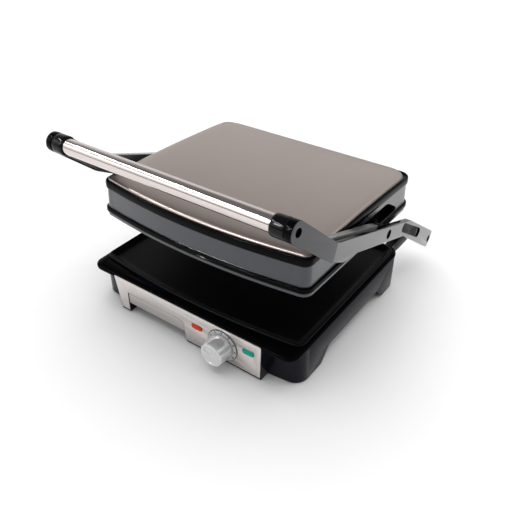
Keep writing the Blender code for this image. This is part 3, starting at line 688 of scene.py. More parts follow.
@dataclass
class Base:
    """The lower housing with its deck, grill plate, feet and hinge ears."""

    finishes: Finishes
    panel_y: float
    half: float = 0.1703
    wall_bottom: float = 0.0015
    deck_low: float = 0.0516
    deck_top: float = 0.0584
    box_front: float = 0.0009
    hinge_y: float = 0.3554
    hinge_z: float = 0.0470
    ear_inner: float = 0.1440
    ear_outer: float = 0.1560
    wall: float = 0.0026
    shop: Workshop = field(init=False)

    def __post_init__(self) -> None:
        """Sets up the base's own frame."""
        self.shop = Workshop(Matrix.Translation((0, self.panel_y, 0)), "base")
        self.plate_plan = BowedPlan(0.1658, 0.0127, 0.2820, 0.0118, 0.013, 0.018)
        self.wall_plan = BowedPlan(self.half, 0.0105, 0.2890, 0.010, 0.020, 0.022)
        self.deck_plan = BowedPlan(self.half, self.box_front, 0.2905, 0, 0.016, 0.022)

    def build(self) -> None:
        """Builds every piece of the base that shows."""
        self._housing()
        self._plate()
        self._feet()
        self._gland()

    def _lean(self, shift: float) -> bpy.types.Object:
        """Makes the wedge that leans the rear wall in towards the floor."""
        top = self.deck_low - 0.0001
        profile = [(0.2725, -0.001), (0.2890, top), (0.33, top), (0.33, -0.001)]
        return self.shop.prism("lean", "YZ", [(y + shift, z) for y, z in profile], -0.2, 0.2, [])

    def _housing(self) -> None:
        """Builds the housing: walls, control box, deck, ears, arches and the plate's seat."""
        shop, fin = self.shop, self.finishes
        skins = [fin.wall_black, fin.deck_black]
        body = shop.prism(
            "housing", "XY", self.wall_plan.outline(0), self.wall_bottom, self.deck_low + 0.001, skins
        )
        face = [(-0.1263, 0.0530), (-0.1177, self.wall_bottom), (0.1248, self.wall_bottom), (0.1263, 0.0530)]
        box = shop.prism("control_box", "XZ", face, self.box_front, 0.030, skins)
        combine(body, box, "UNION")
        combine(body, self._lean(0), "DIFFERENCE")
        plan = self.deck_plan
        rings = [
            (plan.outline(0.0016), self.deck_low - 0.0004),
            (plan.outline(0.0004), self.deck_low + 0.0002),
            (plan.outline(0), self.deck_low + 0.0014),
            (plan.outline(0), 0.0553),
            (plan.outline(0.0004), 0.0562),
            (plan.outline(0.0013), 0.0568),
            (plan.outline(0.0060), 0.0581),
            (plan.outline(0.0068), self.deck_top),
        ]
        deck = shop.loft("deck", rings, skins, [1] * 7, 24)
        combine(body, deck, "UNION")
        for side in (-1, 1):
            combine(body, self._ear(side, skins), "UNION")
        inner = BowedPlan(self.half - self.wall, 0.0131, 0.2864, 0.010, 0.0175, 0.0195)
        hollow = shop.prism("hollow", "XY", inner.outline(0), 0.0045, 0.0544, [])
        combine(hollow, self._lean(-self.wall), "DIFFERENCE")
        combine(body, hollow, "DIFFERENCE")
        arch = fillet(
            [
                (0.0690, -0.01),
                (0.0690, 0.0014),
                (0.0880, 0.0215, 0.006),
                (0.2220, 0.0215, 0.006),
                (0.2410, 0.0014),
                (0.2410, -0.01),
            ]
        )
        combine(body, shop.prism("arch", "YZ", arch, -0.2, 0.2, []), "DIFFERENCE")
        floor = [(-0.14, 0.024), (0.14, 0.024), (0.14, 0.26), (-0.14, 0.26)]
        combine(body, shop.prism("floor_opening", "XY", floor, -0.01, 0.007, []), "DIFFERENCE")
        gate = fillet(
            [(-0.1022, -0.005), (-0.1022, 0.0358, 0.0015), (0.0001, 0.0358, 0.0085), (0.0043, -0.005)]
        )
        combine(body, shop.prism("tray_way", "XZ", gate, -0.01, 0.035, []), "DIFFERENCE")
        combine(body, shop.prism("spout", "XY", self._spout(), 0.0562, 0.07, []), "DIFFERENCE")
        seat = shop.prism("seat", "XY", self.plate_plan.outline(-0.0006), 0.0564, 0.07, [])
        combine(body, seat, "DIFFERENCE")
        opening = shop.prism("opening", "XY", self.plate_plan.outline(0.0074), 0.050, 0.07, [])
        combine(body, opening, "DIFFERENCE")
        for name, x, z in (("power", 0.0236, 0.0365), ("ready", 0.1057, 0.0377)):
            window = shop.prism(name, "XZ", pill(x, z, 0.0090, 0.0038), -0.01, 0.010, [])
            combine(body, window, "DIFFERENCE")
        combine(body, shop.rod("shaft", "Y", (0.066, 0, 0.0292), -0.01, 0.010, 0.006), "DIFFERENCE")
        combine(body, shop.rod("gland", "Y", (0.060, 0, 0.036), 0.27, 0.30, 0.006), "DIFFERENCE")
        soften(body, 0.0005, 2, 50)
        shop.give(body, "black_gloss_plastic", "base_housing")

    @staticmethod
    def _spout() -> Outline:
        """Gives the crescent scoop that leads fat from the plate's edge to the tray."""
        middle, half, front, depth = -0.0690, 0.0268, 0.0128, 0.0046
        curve = []
        for step in range(17):
            share = step / 8 - 1
            curve.append((middle + half * share, front - depth * (1 - share**2) ** 0.7 - 0.0010 * share))
        return curve + [(middle + half, 0.0200), (middle - half, 0.0200)]

    def _ear(self, side: int, skins: Sequence[bpy.types.Material]) -> bpy.types.Object:
        """Makes one hinge ear with its bore.

        Args:
            side: -1 for the left ear, 1 for the right.
            skins: the housing's materials.

        Returns:
            The ear.
        """
        profile = fillet(
            [
                (0.2500, 0.0365),
                (0.2500, 0.0560),
                (0.3050, 0.0560, 0.020),
                (0.3300, 0.0600, 0.020),
                (self.hinge_y + 0.0115, 0.0590, 0.0113),
                (self.hinge_y + 0.0115, 0.0350, 0.0113),
                (0.3250, 0.0345, 0.020),
                (0.3000, 0.0365, 0.020),
            ]
        )
        low, high = sorted((side * self.ear_inner, side * self.ear_outer))
        ear = self.shop.prism("ear", "YZ", profile, low, high, skins)
        soften(ear, 0.0022, 3)
        bore = self.shop.rod("bore", "X", (0, self.hinge_y, self.hinge_z), low - 0.01, high + 0.01, 0.0043)
        combine(ear, bore, "DIFFERENCE")
        paint_faces(ear, lambda face: 1)
        return ear

    def _plate(self) -> None:
        """Builds the lower grill plate: a flat floor inside a rolled lip."""
        steps = (
            (0.0080, 0.0517),
            (0.0080, 0.0567),
            (0.0004, 0.0567),
            (0.0000, 0.0572),
            (0.0000, 0.0600),
            (0.0003, 0.0608),
            (0.0010, 0.0614),
            (0.0018, 0.0616),
            (0.0028, 0.0614),
            (0.0038, 0.0608),
            (0.0062, 0.0588),
            (0.0088, 0.0566),
            (0.0104, 0.0556),
            (0.0122, 0.0552),
            (0.0150, 0.0551),
        )
        rings = [(self.plate_plan.outline(inset), z) for inset, z in steps]
        plate = self.shop.loft("lower_grill_plate", rings, [self.finishes.non_stick], None, 40)
        self.shop.give(plate, "non_stick_coating", "lower_plate")

    def _feet(self) -> None:
        """Builds the four rubber feet."""
        profile = [
            (0, 0.0062),
            (0.0026, 0.0062),
            (0.0026, 0.0012),
            (0.0078, 0.0012),
            (0.0080, 0.0009),
            (0.0079, 0.0003),
            (0.0074, 0.0),
            (0.0040, 0.0),
            (0.0036, 0.0004),
            (0, 0.0004),
        ]
        for end, y in (("front", 0.045), ("rear", 0.2535)):
            for side, x in (("left", -0.152), ("right", 0.152)):
                foot = self.shop.turned(f"{end}_{side}_foot", "Z", (x, y, 0), profile, [self.finishes.rubber])
                self.shop.give(foot, "foot_rubber", f"foot_{end}_{side}")

    def _gland(self) -> None:
        """Builds the gland of the mains inlet."""
        profile = [
            (0.0036, 0.2930),
            (0.0062, 0.2930),
            (0.0068, 0.2926),
            (0.0088, 0.2914),
            (0.0090, 0.2908),
            (0.0090, 0.2893),
            (0.0056, 0.2893),
            (0.0056, 0.2790),
            (0.0036, 0.2790),
        ]
        skins = [self.finishes.satin_black]
        gland = self.shop.turned("inlet_gland", "Y", (0.060, 0, 0.036), profile, skins, 48, True)
        self.shop.give(gland, "black_satin_plastic", "cord_gland")


@dataclass
class ControlPanel:
    """The steel panel with its lenses, dial and knob."""

    finishes: Finishes
    panel_y: float
    thickness: float = 0.0008
    knob_x: float = 0.0660
    knob_z: float = 0.0292
    lens_half: float = 0.0087
    lens_radius: float = 0.0035
    power_lens: Point = (0.0236, 0.0365)
    ready_lens: Point = (0.1057, 0.0377)
    tick_count: int = 9
    shop: Workshop = field(init=False)

    def __post_init__(self) -> None:
        """Sets up the panel's frame."""
        self.shop = Workshop(Matrix.Translation((0, self.panel_y, 0)), "base")

    def build(self) -> None:
        """Builds the panel, its lenses, the dial and the knob."""
        self._panel()
        self._lens("power_window", self.power_lens, self.finishes.orange, "orange_lens", "power_lens")
        self._lens("ready_window", self.ready_lens, self.finishes.teal, "teal_lens", "ready_lens")
        self._dial()
        self._knob()

    def _panel(self) -> None:
        """Builds the sheet with its tray gate and holes."""
        outline = fillet(
            [
                (0.1235, 0.0047, 0.001),
                (0.1250, 0.0559, 0.0022),
                (-0.1250, 0.0559, 0.001),
                (-0.1165, 0.0047, 0.0012),
                (-0.1022, 0.0047),
                (-0.1022, 0.0358, 0.0015),
                (0.0001, 0.0358, 0.0085),
                (0.0033, 0.0047),
            ]
        )
        panel = self.shop.prism("panel", "XZ", outline, 0, self.thickness, [self.finishes.panel_steel])
        for x, z in (self.power_lens, self.ready_lens):
            hole = self.shop.prism("hole", "XZ", pill(x, z, 0.0090, 0.0038), -0.01, 0.01, [])
            combine(panel, hole, "DIFFERENCE")
        shaft = self.shop.rod("hole", "Y", (self.knob_x, 0, self.knob_z), -0.01, 0.01, 0.005)
        combine(panel, shaft, "DIFFERENCE")
        soften(panel, 0.00025, 2)
        self.shop.give(panel, "panel_steel", "control_panel")

    def _lens(
        self, name: str, spot: Point, finish: bpy.types.Material, slot: str, node: str
    ) -> None:
        """Builds a rounded lens.

        Args:
            name: the piece's name.
            spot: its middle, across and up.
            finish: its material.
            slot: the record's slot.
            node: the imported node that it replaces.
        """
        lens = self.shop.prism(
            name, "XZ", pill(*spot, self.lens_half, self.lens_radius, 10), -0.0009, 0.0052, [finish]
        )
        soften(lens, 0.0007, 4)
        self.shop.give(lens, slot, node)

    def _dial(self) -> None:
        """Builds the ring behind the knob, a dark ring of painted shade on its rounded edge, and its marks,
        which grow from low to high heat.
        """
        profile = [
            (0.0045, 0.0013),
            (0.0216, 0.0013),
            (0.0225, 0.0013),
            (0.0232, 0.0011),
            (0.0235, 0.0007),
            (0.0235, 0.0003),
            (0.0045, 0.0003),
        ]
        centre = (self.knob_x, 0, self.knob_z)
        ring = self.shop.turned("dial", "-Y", centre, profile, [self.finishes.dial], 96, True)
        # The dark ring on the dial's rounded edge is painted shade: it stands in for the shadow along the
        # raised ring's edge.
        rim = [(0.0226, 0.00134), (0.0232, 0.00120), (0.0235, 0.00075), (0.0229, 0.00100)]
        edge = self.shop.turned("dial_edge_shade", "-Y", centre, rim, [self.finishes.print_and_edge_shade], 96, True)
        self.shop.give(ring, "dial_grey", "dial_scale")
        self.shop.give(edge, "dial_grey")
        bm = bmesh.new()
        for index in range(self.tick_count):
            share = index / (self.tick_count - 1)
            angle = math.radians(215 - 250 * share)
            half = 0.00035 + 0.00060 * share
            radial = Vector((math.cos(angle), 0, math.sin(angle)))
            across = Vector((-math.sin(angle), 0, math.cos(angle)))
            inner, outer = 0.0190, 0.0217
            corners = [
                radial * inner - across * half,
                radial * outer - across * half,
                radial * outer + across * half,
                radial * inner + across * half,
            ]
            layers = []
            for y in (-0.00150, -0.00110):
                offset = Vector((self.knob_x, y, self.knob_z))
                layers.append([bm.verts.new(corner + offset) for corner in corners])
            bm.faces.new(layers[0])
            bm.faces.new(layers[1])
            for side in range(4):
                after = (side + 1) % 4
                bm.faces.new((layers[0][side], layers[0][after], layers[1][after], layers[1][side]))
        marks = self.shop.finish_mesh("dial_marks", bm, [self.finishes.print_and_edge_shade])
        self.shop.give(marks, "dial_grey")

    def _knob(self) -> None:
        """Builds the knob with its dished front and pointer groove."""
        profile = [
            (0.0034, 0.0140),
            (0.0034, 0.0021),
            (0.0167, 0.0021),
            (0.0172, 0.0024),
            (0.0175, 0.0032),
            (0.0175, 0.0060),
            (0.0170, 0.0160),
            (0.0166, 0.0226),
            (0.0163, 0.0236),
            (0.0156, 0.0242),
            (0.0146, 0.0244),
            (0.0135, 0.0244),
            (0.0130, 0.0242),
            (0.0127, 0.0238),
            (0.0122, 0.0237),
            (0.0060, 0.0238),
            (0, 0.0238),
        ]
        centre = (self.knob_x, 0, self.knob_z)
        inner = [(0, 0.0140)]
        knob = self.shop.turned(
            "turn_knob", "-Y", centre, list(reversed(inner + profile)), [self.finishes.knob], 96
        )
        groove = fillet(
            [
                (self.knob_x - 0.0113, self.knob_z + 0.0050),
                (self.knob_x - 0.0108, self.knob_z + 0.0058),
                (self.knob_x - 0.0008, self.knob_z + 0.0010),
                (self.knob_x - 0.0012, self.knob_z + 0.0004),
            ]
        )
        cutter = self.shop.prism("pointer", "XZ", groove, -0.0255, -0.02345, [])
        combine(knob, cutter, "DIFFERENCE")
        self.shop.give(knob, "knob_silver", "control_knob", body="knob")


@dataclass
class DripTray:
    """The sliding tray: a steel front on a black basin."""

    finishes: Finishes
    panel_y: float

    def build(self) -> None:
        """Builds the front and the basin."""
        shop = Workshop(Matrix.Translation((0, self.panel_y, 0)), "drip_tray_body")
        face = fillet(
            [
                (-0.1010, 0.0178, 0.001),
                (-0.1010, 0.0346, 0.0015),
                (-0.0011, 0.0346, 0.0085),
                (0.0007, 0.0178, 0.001),
            ]
        )
        front = shop.prism("tray_front", "XZ", face, 0.0007, 0.0019, [self.finishes.tray_steel])
        soften(front, 0.0003, 2)
        shop.give(front, "tray_steel", "drip_tray_front")
        steps = (
            (0.0060, 0.0190),
            (0.0050, 0.0194),
            (0.0046, 0.0202),
            (0.0044, 0.0318),
            (0.0002, 0.0318),
            (0.0000, 0.0321),
            (0.0000, 0.0329),
            (0.0003, 0.0332),
            (0.0054, 0.0332),
            (0.0058, 0.0329),
            (0.0062, 0.0214),
            (0.0068, 0.0207),
            (0.0078, 0.0204),
        )
        rings = []
        for inset, z in steps:
            outline = fillet(
                [
                    (-0.0985 + inset, 0.0022 + inset, 0.006),
                    (-0.0065 - inset, 0.0022 + inset, 0.006),
                    (-0.0065 - inset, 0.1950 - inset, 0.006),
                    (-0.0985 + inset, 0.1950 - inset, 0.006),
                ]
            )
            rings.append((outline, z))
        basin = shop.loft("tray_basin", rings, [self.finishes.satin_black])
        shop.give(basin, "tray_plastic", "drip_tray")


@dataclass
class Arms:
    """The two bent arms, their inner covers, the bar handle and the height catch."""

    finishes: Finishes
    hinge: Vector
    rise: float = math.radians(20.0)
    outer: float = 0.1867
    inner: float = 0.1780
    cover_inner: float = 0.1695
    beam_top: float = 0.0421
    beam_bottom: float = 0.0209
    front_bend: float = -0.3357
    rear_bend: float = -0.1107
    link_slope: float = math.radians(21.7)
    leg_slope: float = math.radians(15.5)
    leg_half: float = 0.0133
    handle_axis: Point = (-0.4159, 0.0615)
    end_radius: float = 0.0125
    inset: float = 0.0087
    pivot: Point = (-0.1839, 0.0315)
    slot_centre: Point = (-0.0960, 0.0258)
    slot_slope: float = math.radians(13.0)
    shop: Workshop = field(init=False)

    def __post_init__(self) -> None:
        """Sets up the arms' frame, with the beams raised as at rest."""
        place = Matrix.Translation(self.hinge) @ Matrix.Rotation(-self.rise, 4, "X")
        self.shop = Workshop(place, "arms")

    def build(self) -> None:
        """Builds both arms, the handle and the catch."""
        for side, sign in (("left", -1), ("right", 1)):
            self._arm(side, sign)
            self._cover(side, sign)
            self._cap(side, sign)
            self._handle_screw(side, sign)
            self._hinge_pin(side, sign)
        self._tube()
        self._catch()

    def _leg(self, along: float, across: float) -> Point:
        """Gives a point of the rear leg, from the hinge axis."""
        run = Vector((math.cos(self.leg_slope), -math.sin(self.leg_slope)))
        up = Vector((math.sin(self.leg_slope), math.cos(self.leg_slope)))
        spot = run * along + up * across
        return (spot.x, spot.y)

    def _link(self, along: float, across: float) -> Point:
        """Gives a point of the front link, from the handle's axis."""
        run = Vector((math.cos(self.link_slope), -math.sin(self.link_slope)))
        up = Vector((math.sin(self.link_slope), math.cos(self.link_slope)))
        spot = Vector(self.handle_axis) + run * along + up * across
        return (spot.x, spot.y)

    def _outline(self) -> Outline:
        """Gives an arm's outline."""
        points: Outline = []
        steps = 28
        for step in range(steps + 1):
            angle = math.pi / 2 - self.link_slope + math.pi * step / steps
            y = self.handle_axis[0] + self.end_radius * math.cos(angle)
            z = self.handle_axis[1] + self.end_radius * math.sin(angle)
            points.append((y, z))
        corners: list[Corner] = [
            points[-1],
            (-0.3420, 0.0205, 0.030),
            (-0.3060, 0.0145, 0.030),
            (-0.2760, self.beam_bottom, 0.030),
            (-0.1230, self.beam_bottom, 0.030),
            (*self._leg(0.0078, -self.leg_half), 0.0060),
            (*self._leg(0.0078, self.leg_half), 0.0060),
            (self.rear_bend, self.beam_top, 0.020),
            (self.front_bend, self.beam_top, 0.025),
            points[0],
        ]
        return points[1:-1] + fillet(corners, 10, False)

    def _draw_in(self, sign: int) -> Callable[[bmesh.types.BMesh], None]:
        """Gives the change that brings an arm's front link in towards the handle's end."""

        def shape(bm: bmesh.types.BMesh) -> None:
            """Leans the front link inwards."""
            everything = bm.verts[:] + bm.edges[:] + bm.faces[:]
            bmesh.ops.bisect_plane(
                bm,
                geom=everything,
                plane_co=(0, self.front_bend, 0),
                plane_no=(0, 1, 0),
                dist=0.000001,
            )
            slope = self.inset / (self.front_bend - self.handle_axis[0])
            for vert in bm.verts:
                ahead = self.front_bend - vert.co.y
                if ahead > 0:
                    vert.co.x -= sign * min(ahead * slope, self.inset)

        return shape

    def _arm(self, side: str, sign: int) -> None:
        """Builds one arm's pressing.

        Args:
            side: "left" or "right".
            sign: -1 or 1, the way out from the middle.
        """
        shop = self.shop
        low, high = sorted((sign * self.inner, sign * self.outer))
        skins = [self.finishes.rim_black, self.finishes.arm_gunmetal, self.finishes.link_shaded_lacquer]
        arm = shop.prism(f"{side}_arm", "YZ", self._outline(), low, high, skins, self._draw_in(sign))
        soften(arm, 0.0011, 3)
        axis = "X" if sign > 0 else "-X"
        pivot = (0, *self.pivot)
        handle = (0, *self.handle_axis)
        cuts = (
            (pivot, 0.170, 0.0044),
            (pivot, 0.1824, 0.0064),
            ((0, 0, 0), 0.170, 0.0044),
            ((0, 0, 0), 0.1824, 0.0053),
            (handle, 0.160, 0.0029),
            (handle, 0.1740, 0.0052),
        )
        for centre, start, radius in cuts:
            combine(arm, shop.rod("hole", axis, centre, start, 0.190, radius), "DIFFERENCE")
        if sign > 0:
            combine(arm, self._slot(), "DIFFERENCE")

        def outer_face(face: bpy.types.MeshPolygon) -> int:
            """Gives the lacquered outer face the grey finish, with painted shade as a darker copy on the
            front link.
            """
            middle = face.center
            out = abs(middle.x) > self.outer - self.inset - 0.0016
            if not out or face.normal.x * sign < 0.6 or face.area < 0.0000002:
                return 0
            # Outer faces ahead of the front bend take slot 2, the darker copy that is painted shade.
            return 2 if middle.y < self.front_bend else 1

        paint_faces(arm, outer_face)
        shop.give(arm, "arm_lacquer", f"arm_{side}")

    def _slot_seat(self) -> Matrix:
        """Gives where the catch's slot is, in the arms' frame."""
        turn = Matrix.Rotation(-self.slot_slope, 4, "X")
        return Matrix.Translation((0, *self.slot_centre)) @ turn

    def _slot(self) -> bpy.types.Object:
        """Makes the cutter for the catch's slot."""

        def seat(bm: bmesh.types.BMesh) -> None:
            """Turns the slot to lie along the leg."""
            bmesh.ops.transform(bm, matrix=self._slot_seat(), verts=bm.verts)

        return self.shop.prism("slot", "YZ", pill(0, 0, 0.042, 0.0070), 0.1822, 0.190, [], seat)

    def _cover(self, side: str, sign: int) -> None:
        """Builds the inner cover that boxes in an arm's front half."""
        top = self.beam_top + 0.0020
        outline = fillet(
            [
                self._link(0.0145, 0.0125),
                self._link(0.0145, -0.0100),
                (-0.3440, 0.0235, 0.020),
                (-0.3060, 0.0185, 0.020),
                (-0.2760, self.beam_bottom + 0.0020, 0.020),
                (-0.1960, self.beam_bottom + 0.0020, 0.003),
                (-0.2080, top, 0.003),
                (self.front_bend, top, 0.020),
            ],
            10,
        )
        low, high = sorted((sign * self.cover_inner, sign * (self.inner - 0.0003)))
        skins = [self.finishes.arm_gunmetal]
        cover = self.shop.prism(f"{side}_inner_cover", "YZ", outline, low, high, skins, self._draw_in(sign))
        soften(cover, 0.0012, 3)
        self.shop.give(cover, "arm_lacquer", f"arm_cover_{side}")

    def _cap(self, side: str, sign: int) -> None:
        """Builds a handle cap."""
        profile = [
            (0.0029, 0.1688),
            (0.0106, 0.1688),
            (0.0116, 0.1685),
            (0.0122, 0.1679),
            (0.0125, 0.1670),
            (0.0126, 0.1640),
            (0.0126, 0.1570),
            (0.0125, 0.1536),
            (0.0122, 0.1520),
            (0.0116, 0.1513),
            (0.0110, 0.1512),
            (0.0104, 0.1514),
            (0.0104, 0.1650),
            (0.0029, 0.1650),
        ]
        axis = "X" if sign > 0 else "-X"
        skins = [self.finishes.black_gloss]
        cap = self.shop.turned(f"{side}_handle_cap", axis, (0, *self.handle_axis), profile, skins, 72, True)
        self.shop.give(cap, "black_gloss_plastic", f"handle_cap_{side}")

    def _handle_screw(self, side: str, sign: int) -> None:
        """Builds the dark screw in the handle's end."""
        profile = [
            (0, 0.1750),
            (0.0016, 0.1750),
            (0.0018, 0.1754),
            (0.0034, 0.1756),
            (0.0044, 0.1752),
            (0.0046, 0.1746),
            (0.0046, 0.1743),
            (0.0024, 0.1743),
            (0.0024, 0.1580),
            (0, 0.1580),
        ]
        axis = "X" if sign > 0 else "-X"
        skins = [self.finishes.dark_steel]
        screw = self.shop.turned(f"{side}_handle_screw", axis, (0, *self.handle_axis), profile, skins, 40)
        self.shop.give(screw, "fixing_steel", f"handle_screw_{side}")

    def _hinge_pin(self, side: str, sign: int) -> None:
        """Builds a hinge pin with its spacing collar."""
        profile = [
            (0, 0.1846),
            (0.0030, 0.1850),
            (0.0040, 0.1848),
            (0.0048, 0.1840),
            (0.0048, 0.1828),
            (0.0040, 0.1828),
            (0.0040, 0.1776),
            (0.0083, 0.1776),
            (0.0085, 0.1774),
            (0.0085, 0.1567),
            (0.0083, 0.1565),
            (0.0040, 0.1565),
            (0.0040, 0.1452),
            (0.0038, 0.1450),
            (0, 0.1450),
        ]
        axis = "X" if sign > 0 else "-X"
        skins = [self.finishes.dark_steel]
        pin = self.shop.turned(f"{side}_hinge_pin", axis, (0, 0, 0), profile, skins, 48)
        self.shop.give(pin, "fixing_steel", f"hinge_pin_{side}", body="hinge_pins")

    def _tube(self) -> None:
        """Builds the brushed bar."""
        radius, half, bore = 0.0101, 0.1645, 0.0090
        profile = [
            (radius - 0.0003, half),
            (radius, half - 0.0003),
            (radius, -half + 0.0003),
            (radius - 0.0003, -half),
            (bore, -half),
            (bore, half),
        ]
        skins = [self.finishes.handle_steel]
        tube = self.shop.turned("handle_bar", "X", (0, *self.handle_axis), profile, skins, 128, True)
        self.shop.give(tube, "handle_steel", "handle_tube")

    def _catch(self) -> None:
        """Builds the sliding height catch with its thumb ribs."""
        body = fillet(
            [
                (-0.0410, -0.0064, 0.0062),
                (0.0305, -0.0064, 0.0055),
                (0.0305, 0.0064, 0.0055),
                (-0.0410, 0.0064, 0.0062),
            ]
        )

        def seat(bm: bmesh.types.BMesh) -> None:
            """Turns the catch to lie in its slot."""
            bmesh.ops.transform(bm, matrix=self._slot_seat(), verts=bm.verts)

        catch = self.shop.prism("height_catch", "YZ", body, 0.1826, 0.1864, [self.finishes.catch_black], seat)
        soften(catch, 0.0005, 3)
        for index in range(6):
            y = -0.0010 + 0.0046 * index
            rib = [(y, -0.0075), (y + 0.0018, -0.0075), (y + 0.0018, 0.0075), (y, 0.0075)]
            groove = self.shop.prism("groove", "YZ", rib, 0.1853, 0.1870, [], seat)
            combine(catch, groove, "DIFFERENCE")
        self.shop.give(catch, "black_satin_plastic", "release_slider", body="height_catch")


@dataclass
class Lid:
    """The floating lid: housing, cover and pivots."""

    finishes: Finishes
    pivot: Vector
    tilt: float = math.radians(1.41)
    half: float = 0.1660
    front: float = -0.1735
    rear: float = 0.1165
    bow: float = 0.0140
    bottom: float = -0.0171
    crown: float = 0.0035
    crown_from: float = 0.0126
    crown_to: float = 0.0392
    shop: Workshop = field(init=False)

    def __post_init__(self) -> None:
        """Sets up the lid's frame, tilted as at rest."""
        place = Matrix.Translation(self.pivot) @ Matrix.Rotation(-self.tilt, 4, "X")
        self.shop = Workshop(place, "lid")
        self.plan = BowedPlan(self.half, self.front, self.rear, self.bow, 0.015, 0.020)
        self.cover_plan = BowedPlan(self.half, self.front, self.rear, self.bow, 0.016, 0.034)

    def build(self) -> None:
        """Builds the housing, the cover and the pivots."""
        self._housing()
        self._cover()
        self._pivots()

    def _rings(self, plan: BowedPlan, steps: Sequence[Point]) -> list[Ring]:
        """Gives rings from (inset, height above the lid's lower edge) pairs."""
        return [(plan.outline(inset, side_steps=16), self.bottom + height) for inset, height in steps]

    def _crowned(self, bm: bmesh.types.BMesh) -> None:
        """Arches the lid's top from front to rear, with less of it further down the walls."""
        middle, reach = (self.front + self.rear) / 2, (self.rear - self.front) / 2
        for vert in bm.verts:
            height = vert.co.z - self.bottom
            share = (height - self.crown_from) / (self.crown_to - self.crown_from)
            along = (vert.co.y - middle) / reach
            vert.co.z += self.crown * (1 - along**2) * min(max(share, 0.0), 1.0)

    def _housing(self) -> None:
        """Builds the housing: skirt, bead, wall and rounded rim, with a pocket in each side."""
        black, grey, skirt = 0, 1, 2
        outer = (
            (0.1250, 0.0480, black),
            (0.0800, 0.0480, black),
            (0.0400, 0.0480, black),
            (0.0100, 0.0480, black),
            (0.0066, 0.0480, black),
            (0.0058, 0.0483, black),
            (0.0055, 0.0490, black),
            (0.0053, 0.0500, black),
            (0.0049, 0.0505, black),
            (0.0044, 0.0506, black),
            (0.0037, 0.0503, black),
            (0.0032, 0.0496, black),
            (0.0028, 0.0484, black),
            (0.0026, 0.0465, black),
            (0.0026, 0.0440, black),
            (0.0027, 0.0415, black),
            (0.0030, 0.0400, black),
            (0.0036, 0.0392, black),
            (0.0041, 0.0388, grey),
            (0.0041, 0.0380, grey),
            (0.0034, 0.0200, grey),
            (0.0031, 0.0132, grey),
            (0.0026, 0.0127, black),
            (0.0012, 0.0122, black),
            (0.0003, 0.0114, black),
            (0.0000, 0.0102, black),
            (0.0001, 0.0093, black),
            (0.0006, 0.0088, black),
            (0.0006, 0.0084, black),
            (0.0000, 0.0079, black),
            (0.0000, 0.0066, black),
            (0.0004, 0.0056, black),
            (0.0012, 0.0048, black),
            (0.0018, 0.0044, skirt),
            (0.0018, 0.0004, skirt),
            (0.0022, 0.0000, skirt),
            (0.0044, 0.0000, black),
            (0.0048, 0.0004, black),
            (0.0060, 0.0120, black),
            (0.0064, 0.0455, black),
            (0.0400, 0.0455, black),
            (0.0800, 0.0455, black),
            (0.1250, 0.0455, black),
        )
        fin = self.finishes
        skins = [fin.rim_black, fin.gunmetal, fin.gunmetal]
        rings = self._rings(self.plan, [(inset, height) for inset, height, _ in outer])
        bands = [band for *_, band in outer][:-1]
        shell = self.shop.loft("lid_housing", rings, skins, bands, 36, self._crowned)
        liner = [
            (-0.0858, -0.0066, 0.004),
            (0.0835, -0.0066, 0.003),
            (0.0446, 0.0206, 0.030),
            (-0.0616, 0.0206, 0.020),
        ]
        pocket = [
            (-0.0815, -0.0040, 0.004),
            (0.0785, -0.0040, 0.003),
            (0.0430, 0.0180, 0.030),
            (-0.0600, 0.0180, 0.020),
        ]
        for sign in (-1, 1):
            low, high = sorted((sign * 0.1515, sign * 0.1615))
            combine(shell, self.shop.prism("liner", "YZ", fillet(liner), low, high, [fin.rim_black]), "UNION")
            low, high = sorted((sign * 0.1540, sign * 0.1700))
            hollow = self.shop.prism("pocket", "YZ", fillet(pocket), low, high, [fin.rim_black])
            combine(shell, hollow, "DIFFERENCE")
            axis = "X" if sign > 0 else "-X"
            boss = [(0, 0.1665), (0.0090, 0.1665), (0.0095, 0.1660), (0.0095, 0.1530), (0, 0.1530)]
            hub = self.shop.turned("boss", axis, (0, 0, 0.0030), boss, [fin.rim_black], 48)
            combine(shell, hub, "UNION")
            combine(shell, self.shop.rod("bore", axis, (0, 0, 0), 0.1560, 0.1700, 0.0043), "DIFFERENCE")
        bake(shell, 36)
        self.shop.give(shell, "lid_lacquer", "upper_housing")

    def _cover(self) -> None:
        """Builds the crowned metal cover with its rolled edge."""
        steps = [
            (0.1250, 0.0549),
            (0.0900, 0.0548),
            (0.0450, 0.0546),
            (0.0135, 0.0537),
            (0.0094, 0.0525),
            (0.0079, 0.0512),
            (0.0074, 0.0494),
            (0.0062, 0.0494),
            (0.0062, 0.0506),
            (0.0065, 0.0517),
            (0.0072, 0.0526),
            (0.0082, 0.0533),
            (0.0096, 0.0539),
            (0.0116, 0.0544),
            (0.0150, 0.0549),
            (0.0200, 0.0553),
            (0.0280, 0.0556),
            (0.0400, 0.0558),
            (0.0600, 0.0560),
            (0.0800, 0.0561),
            (0.1020, 0.0561),
            (0.1250, 0.0561),
        ]
        rings = self._rings(self.cover_plan, steps)
        cover = self.shop.loft("lid_cover", rings, [self.finishes.titanium], None, 40, self._crowned)
        self.shop.give(cover, "titanium_cover", "upper_cover")

